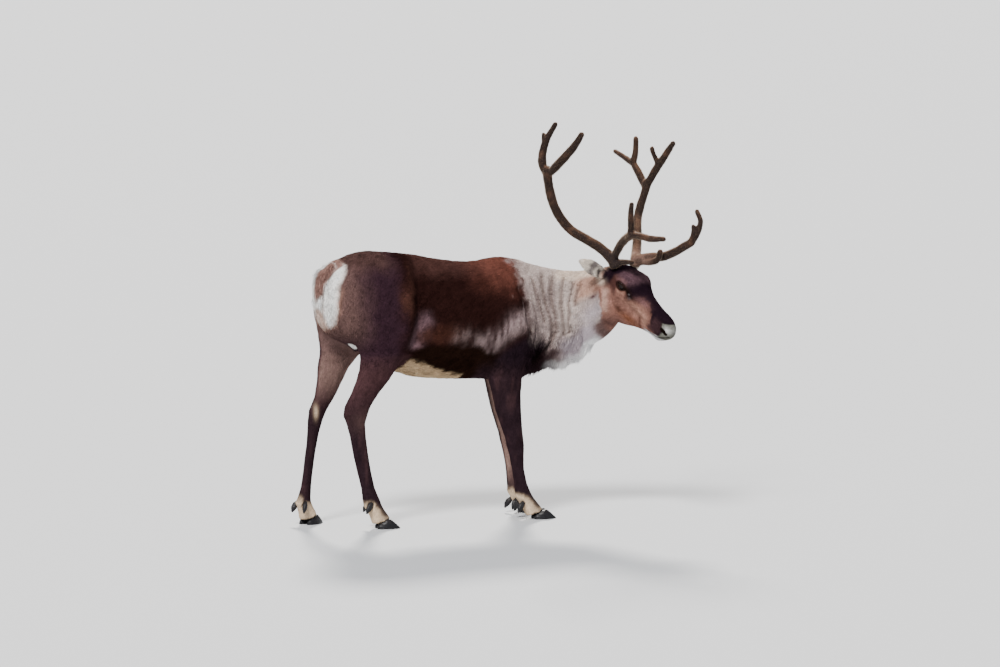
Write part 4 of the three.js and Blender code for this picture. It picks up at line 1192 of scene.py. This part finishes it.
# Name, weight, count, pieces, length, width, lift, spread, contrast, stations
coat("coat_body", body_weight, 117000, 3, body_length, even(2.0), body_lift, 0.16, 0.36, 1)
coat("coat_neck", haired_neck, 25000, 2, neck_length, even(1.95), even(0.12), 0.2, 0.22, 2)
coat("coat_legs", is_leg * haired, 40000, 1, leg_length, even(1.6), even(0.12), 0.14, 0.28, 1)
coat("coat_face", face_weight, 42000, 1, face_length, face_width, even(0.16), 0.18, 0.22, 1)

# Long locks

LOCK_STATIONS = 5  # rings of a lock


def locks(name, weight, count, length, width, droop, contrast):
    """Long hair that leaves the skin along the lie and hangs: curved closed strands."""
    each = int(count * SHARE)
    roots, normals, lies, colours = skin_spots(weight, each)
    where = Place(roots)
    clump = np.stack([wobble(roots, 26, 80 + k) for k in range(3)], 1)
    long = length(where) * (0.75 + 0.4 * rng.random(each)) * (1 + 0.2 * clump[:, 0])
    wide = width * (0.7 + 0.6 * rng.random(each)) * 1.0
    way = unit(lies + 0.35 * normals + 0.25 * clump + 0.08 * rng.normal(0, 1, (each, 3)))
    shine = np.exp(contrast * rng.normal(0, 1, each).clip(-2, 2))[:, None]
    sink = np.outer(droop(where), [0, 0, 1]) / LOCK_STATIONS
    centre = roots - normals * LOCK_ROOT
    rings = []
    for s in np.arange(LOCK_STATIONS) / LOCK_STATIONS:
        side = unit(np.cross(way, normals + 0.3 * clump))
        half = 0.5 * wide * (1 - s**2.5) * (0.7 + 0.6 * min(1, 3 * s))
        rings.append(three_sided(centre, side, np.cross(side, way), half, 0.8))
        way = unit(way - sink)
        centre = centre + way * (long / LOCK_STATIONS)[:, None]
    base, tip = (np.clip(colours * shine * share, 0, 1) for share in (0.72, 1.1))
    hairs(name, roots, normals, rings, centre, base, tip, quarter(where))


ruff_weight = is_neck * smooth(-p.b, 0.4, 0.75) * smooth(p.t, 0.26, 0.38) * fade(p.t, 0.8, 0.92)


def ruff_length(w):
    return (28 + 24 * smooth(-w.b, 0.6, 0.95)) * (0.6 + 0.4 * smooth(w.t, 0.28, 0.42))


# Name, weight, count, length, width, droop, contrast
locks("coat_ruff", ruff_weight, 4000, ruff_length, 2.2, even(0.9), 0.1)
breast = smooth(p.x, 60, 110) * fade(p.x, 220, 260) * fade(p.z, 660, 720) * (1 - p.leg)
locks("coat_breast", breast * haired, 1000, even(24), 2.0, even(0.6), 0.15)
locks("coat_tail", p.tail, 2000, even(44), 2.2, even(1.6), 0.15)
square_normals = unit(skin_normals[skin.faces].mean(1))
ear_hair = p.ear * smooth(square_normals @ head_forward, -0.2, 0.5)
locks("coat_ears", ear_hair, 1200, even(10), 1.05, even(0.2), 0.12)

# Antlers

# Courses of the antlers, [forward, out, up, radius] in the head's frame: the source's, with fuller tips
ANTLERS = {
    "right": [
        [
            [-2, 55, -14, 21], [-26, 62, 8, 24], [-84, 90, 24, 22], [-143, 125, 28, 21], [-220, 168, 31, 20.5],
            [-289, 208, 69, 20], [-336, 228, 114, 20], [-370, 247, 168, 20], [-388, 257, 210, 22],
        ],
        [[0, 54, 14, 14], [15, 55, 31, 13], [60, 49, 62, 11]],
        [[-26, 64, 26, 17], [-4, 90, 112, 18], [28, 110, 170, 18.5], [62, 131, 214, 18]],
        [[52, 128, 200, 14], [44, 145, 250, 14], [28, 155, 290, 12.5], [13, 160, 331, 11.5]],
        [[56, 128, 206, 15], [112, 135, 241, 15], [158, 135, 264, 14], [213, 125, 303, 12]],
        [[-380, 254, 192, 16], [-350, 260, 270, 19], [-318, 255, 383, 17], [-312, 250, 450, 12.5]],
        [[-378, 252, 188, 16], [-428, 260, 217, 18], [-471, 250, 290, 16], [-476, 236, 382, 12]],
        [[-466, 252, 276, 10], [-488, 250, 298, 10], [-500, 250, 316, 9]],
    ],
    "left": [
        [
            [-2, 55, -14, 21], [-18, 62, 8, 24], [-46, 84, 10, 22], [-80, 110, 20, 21], [-163, 160, 55, 19],
            [-218, 195, 79, 18], [-251, 218, 120, 18], [-276, 238, 160, 18], [-296, 250, 190, 20],
        ],
        [[0, 58, 8, 14], [19, 61, 26, 14], [60, 64, 55, 14], [86, 61, 91, 13], [84, 56, 128, 12]],
        [[-10, 64, 24, 17], [40, 80, 68, 18], [79, 92, 97, 19], [108, 104, 138, 19], [154, 126, 226, 17]],
        [[148, 121, 212, 15], [155, 130, 258, 15], [142, 135, 320, 12], [97, 140, 342, 11.5]],
        [[150, 120, 226, 10], [150, 116, 268, 11], [134, 114, 294, 10]],
        [[-288, 244, 174, 16], [-292, 258, 262, 17], [-280, 256, 336, 16], [-262, 247, 420, 12.5]],
        [[-290, 256, 290, 11], [-328, 240, 321, 11], [-337, 230, 340, 10]],
        [[-288, 244, 172, 15], [-340, 257, 180, 16], [-382, 258, 194, 16], [-428, 258, 208, 15]],
        [[-410, 258, 203, 13], [-474, 258, 192, 12], [-532, 254, 182, 11]],
        [[-416, 258, 202, 14], [-430, 255, 252, 13], [-452, 245, 307, 11.5]],
    ],
}

SWELLS = [(1.3, 34, 91), (0.7, 13, 92), (0.35, 6, 94)]  # unevenness: height, size, seed


def curve_through(rows, steps):
    """Places and radii along a smooth curve that never loops between its rows."""
    rows = np.asarray(rows, float)
    ends = [2 * rows[0] - rows[1], *rows, 2 * rows[-1] - rows[-2]]
    out = []
    for i in range(len(rows) - 1):
        a, b, c, d = ends[i : i + 4]
        ab, bc, cd = (np.linalg.norm(q[:3] - p[:3]) ** 0.5 for p, q in ((a, b), (b, c), (c, d)))
        start = ((b - a) / ab - (c - a) / (ab + bc) + (c - b) / bc) * bc
        stop = ((c - b) / bc - (d - b) / (bc + cd) + (d - c) / cd) * bc
        for s in np.arange(steps) / steps:
            from_b = b * (2 * s**3 - 3 * s**2 + 1) + start * (s**3 - 2 * s**2 + s)
            out.append(from_b + c * (3 * s**2 - 2 * s**3) + stop * (s**3 - s**2))
    out.append(rows[-1])
    return np.array(out)


def tube(rows, sides=18, steps=10):
    """A round closed tube with a domed far end."""
    line = curve_through(rows, steps)
    places, radii = line[:, :3], line[:, 3]
    ways = unit(np.gradient(places, axis=0))
    across = np.array([0.3, 0.2, 1.0])
    rings = []
    dome = [(0.35, 0.94), (0.65, 0.76), (0.87, 0.5), (0.98, 0.2)]
    stops = [(i, 0.0, 1.0) for i in range(len(places))] + [(-1, *d) for d in dome]
    for i, beyond, shrink in stops:
        across = unit(across - ways[i] * (across @ ways[i]))
        over = np.cross(ways[i], across)
        wide, deep = outline(sides, radii[i] * shrink, radii[i] * shrink)
        centre = places[i] + ways[i] * beyond * radii[i]
        rings.append(centre + wide[:, None] * across + deep[:, None] * over)
    return loft(rings)


FUZZ = 10000  # hairs on the velvet of one antler
SIDES = (("left", 1), ("right", -1))

for side, sign in SIDES:
    names = [f"antler_{part}_{side}" for part in ("beam", "brow", "bez", "fore", "rear")]
    courses = [[[*on_head([[f, y * sign, h]])[0], r] for f, y, h, r in course] for course in ANTLERS[side]]
    form = Surface(*fused(*joined([tube(course) for course in courses]), ANTLER_VOXEL))
    form.relax(8)
    top = in_head(form.points)
    swell = sum(size * wobble(form.points, scale, seed) for size, scale, seed in SWELLS)
    swell += 2.5 * bell(lengths(top - [-8, 58 * sign, 4]), 20)
    form.points = form.points + form.normals() * (swell - 0.3)[:, None]
    normal = form.normals()
    fur = Layers(tint(32, 19, 15), len(form.points))
    spotted = wobble(form.points, 40, 93) + 0.5 * wobble(form.points, 15, 96)
    fur.lay(tint(76, 51, 38), 0.6 * smooth(spotted, 0.0, 0.9))
    # base of each antler: painted shade darkens the near one, and painted light makes the far one a paler
    # reddish grey
    root = fade(lengths(top - [0, 60 * sign, 20]), 40, 110)
    fur.lay(tint(30, 21, 22) if sign < 0 else tint(112, 86, 76), 0.85 * root)
    # painted light on the upward-facing parts of the velvet
    fur.lay(tint(136, 100, 78), 0.35 * smooth(normal[:, 2], 0.3, 0.95))
    fur.lay(tint(34, 22, 20), 0.6 * smooth(-wobble(form.points, 22, 95), 0.1, 0.7))
    antler = make_mesh(f"velvet_{side}", form.points, form.faces)
    paint(antler, fur.colours)
    dress(antler, VELVET, names)
    count = int(FUZZ * SHARE)
    at = form.scatter(1, count)
    out, colours, one = unit(at(normal)), at(fur.colours), np.ones(count)
    lies = flattened(out[:, [1, 2, 0]] + 0.8 * rng.normal(0, 1, (count, 3)), out)
    base, tip = colours * 0.9, mix(colours, tint(228, 196, 160), 0.5)
    place = f"velvet_fuzz_{side}", "velvet", at(form.points), out, lies
    tufts(*place, 5 * one, one, 0.95 * one, 0, base, tip, 1, np.zeros(count, int))

# Hooves and eyes

for name in [f"{kind}_{side}_{foot}" for foot in FEET for side, _ in SIDES for kind in ("claw", "dewclaw")]:
    form = Surface(*fused(*split(*split(*node_shell(name))), HORN_VOXEL))
    floor = form.points[:, 2].min()
    flat = smooth(form.points[:, 2], floor + 1, floor + 5)
    form.relax(4, flat, 1.0)
    rings = 0.35 * np.sin(form.points[:, 2] / 1.3) * flat
    form.points = form.points + form.normals() * (rings - 0.2 * flat)[:, None]
    form.points[:, 2] = np.maximum(form.points[:, 2], floor)
    hoof = make_mesh(f"horn_{name}", form.points, form.faces)
    horn = Layers(tint(15, 14, 18), len(form.points))
    horn.lay(tint(40, 36, 36), 0.5 * smooth(form.points[:, 2], floor + 14, floor + 40))
    paint(hoof, horn.colours)
    dress(hoof, HORN, [name])

# Rings of the eyelids: share of the way out from the opening, height over the eyeball
LIDS = [
    (1, -2.0), (0.5, -0.6), (0.0, 0.3), (-0.03, 1.0), (0.06, 1.9),
    (0.2, 2.4), (0.5, 2.2), (0.8, 0.8), (1, -1.9),
]

TURNS = 2 * np.pi * np.arange(48) / 48
# Half opening of the lids round the eye, in radians, with a longer corner in front
OPENING = 1 / np.hypot(np.cos(TURNS) / 0.95, np.sin(TURNS) / np.where(np.sin(TURNS) > 0, 0.56, 0.64))
OPENING += 0.22 * bell(np.minimum(TURNS, 2 * np.pi - TURNS), 0.28)

for side, sign in SIDES:
    middle = on_head([EYE_AT * [1, sign, 1]])[0]
    look = unit(head_left * sign * 0.94 + head_forward * 0.3 + head_up * 0.1)
    level = head_forward + 0.3 * head_up
    level = unit(level - look * (level @ look))
    above = np.cross(look, level) * sign
    flat = np.outer(np.cos(TURNS), level) + np.outer(np.sin(TURNS), above)

    def eye_ring(angle, radius):
        ring = middle + radius * (np.outer(np.cos(angle), look) + np.sin(angle)[:, None] * flat)
        return ring[::-sign]

    rings = []
    for angle in np.linspace(0.02, np.pi - 0.02, 40):
        cornea = math.exp(-((angle / 0.55) ** 4))
        rings.append(eye_ring(np.full(len(TURNS), angle), EYE_RADIUS - 0.6 + cornea))
    points, faces = loft(rings)
    away = unit(points - middle)
    u, v = away @ level / 0.6, away @ above / 0.44
    eye = Layers(tint(24, 16, 14), len(points))
    eye.lay(tint(30, 17, 10), fade(np.hypot(u, v), 0.95, 1.1))
    eye.lay(tint(6, 6, 9), fade(np.hypot(u / 0.62, v / 0.36), 0.85, 1.05))
    ball = make_mesh(f"eyeball_{side}", points, faces)
    paint(ball, eye.colours)
    dress(ball, EYE, [f"eye_{side}"])
    rings, tints = [], []
    for share, height in LIDS:
        rings.append(eye_ring(OPENING + share * (1.4 - OPENING), EYE_RADIUS + height))
        tints.append(np.tile(mix(tint(12, 8, 8), TEMPLE, smooth(share, 0.35, 0.85)), (len(TURNS), 1)))
    lids = make_mesh(f"eyelids_{side}", *loft(rings))
    paint(lids, np.concatenate([*tints, tints[0][:1], tints[-1][:1]]))
    dress(lids, HIDE)

# Floor, light and camera


def floor_object():
    size = 300.0  # metres
    mesh = bpy.data.meshes.new("floor")
    corners = [(-size, -size, 0), (size, -size, 0), (size, size, 0), (-size, size, 0)]
    mesh.from_pydata(corners, [], [(0, 1, 2, 3)])
    made = add_object("floor", mesh)
    look, _, shader = material("floor_paint")
    shader.inputs["Base Color"].default_value = (0.54, 0.55, 0.565, 1)
    shader.inputs["Roughness"].default_value = 0.9
    made.data.materials.append(look)


def sun_light(name, way, strength, softness, colour):
    data = bpy.data.lights.new(name, "SUN")
    data.energy = strength
    data.angle = math.radians(softness)
    data.color = colour
    add_object(name, data).rotation_euler = Vector(way).to_track_quat("-Z", "Y").to_euler()


HORIZON = (1.2, 1.24, 1.28)
OVERHEAD = (0.36, 0.38, 0.43)


def studio():
    """Even light from all round, paler overhead, so that floor and background meet softly."""
    world = bpy.data.worlds.new("studio")
    world.use_nodes = True
    tree = world.node_tree
    ground = tree.nodes["Background"]
    coordinates = tree.nodes.new("ShaderNodeTexCoord")
    part = tree.nodes.new("ShaderNodeSeparateXYZ")
    ramp = tree.nodes.new("ShaderNodeValToRGB")
    link(tree, coordinates.outputs["Generated"], part.inputs["Vector"])
    link(tree, part.outputs["Z"], ramp.inputs["Fac"])
    link(tree, ramp.outputs["Color"], ground.inputs["Color"])
    stops = ramp.color_ramp.elements
    stops[0].position = 0.04
    stops[0].color = (*HORIZON, 1)
    stops[1].position = 0.22
    stops[1].color = (*OVERHEAD, 1)
    ground.inputs["Strength"].default_value = 1.0
    bpy.context.scene.world = world


floor_object()
sun_light("key", (0.55, 0.55, -0.82), 5.2, 14, (1, 0.985, 0.96))
sun_light("back", (-0.3, -0.8, -0.6), 6.2, 10, (1, 0.96, 0.9))
studio()

CAMERA_TURN = math.radians(24.0)
CAMERA_DROP = math.radians(5.5)
CAMERA_AWAY = 18.0
CAMERA_AIM = np.array([13.7, 0, 770.0])
CAMERA_LENS = 155.52


def camera_object():
    right = Vector((math.cos(CAMERA_TURN), -math.sin(CAMERA_TURN), 0))
    level = math.cos(CAMERA_DROP)
    ahead = Vector((math.sin(CAMERA_TURN) * level, math.cos(CAMERA_TURN) * level, -math.sin(CAMERA_DROP)))
    above = right.cross(ahead)
    data = bpy.data.cameras.new("camera")
    data.lens = CAMERA_LENS
    data.sensor_width = 36
    data.clip_end = 1000
    made = add_object("camera", data)
    place = Vector(to_frame(CAMERA_AIM)) - ahead * CAMERA_AWAY
    axes = Matrix((right, above, -ahead)).transposed().to_4x4()
    made.matrix_world = Matrix.Translation(place) @ axes
    bpy.context.scene.camera = made


camera_object()
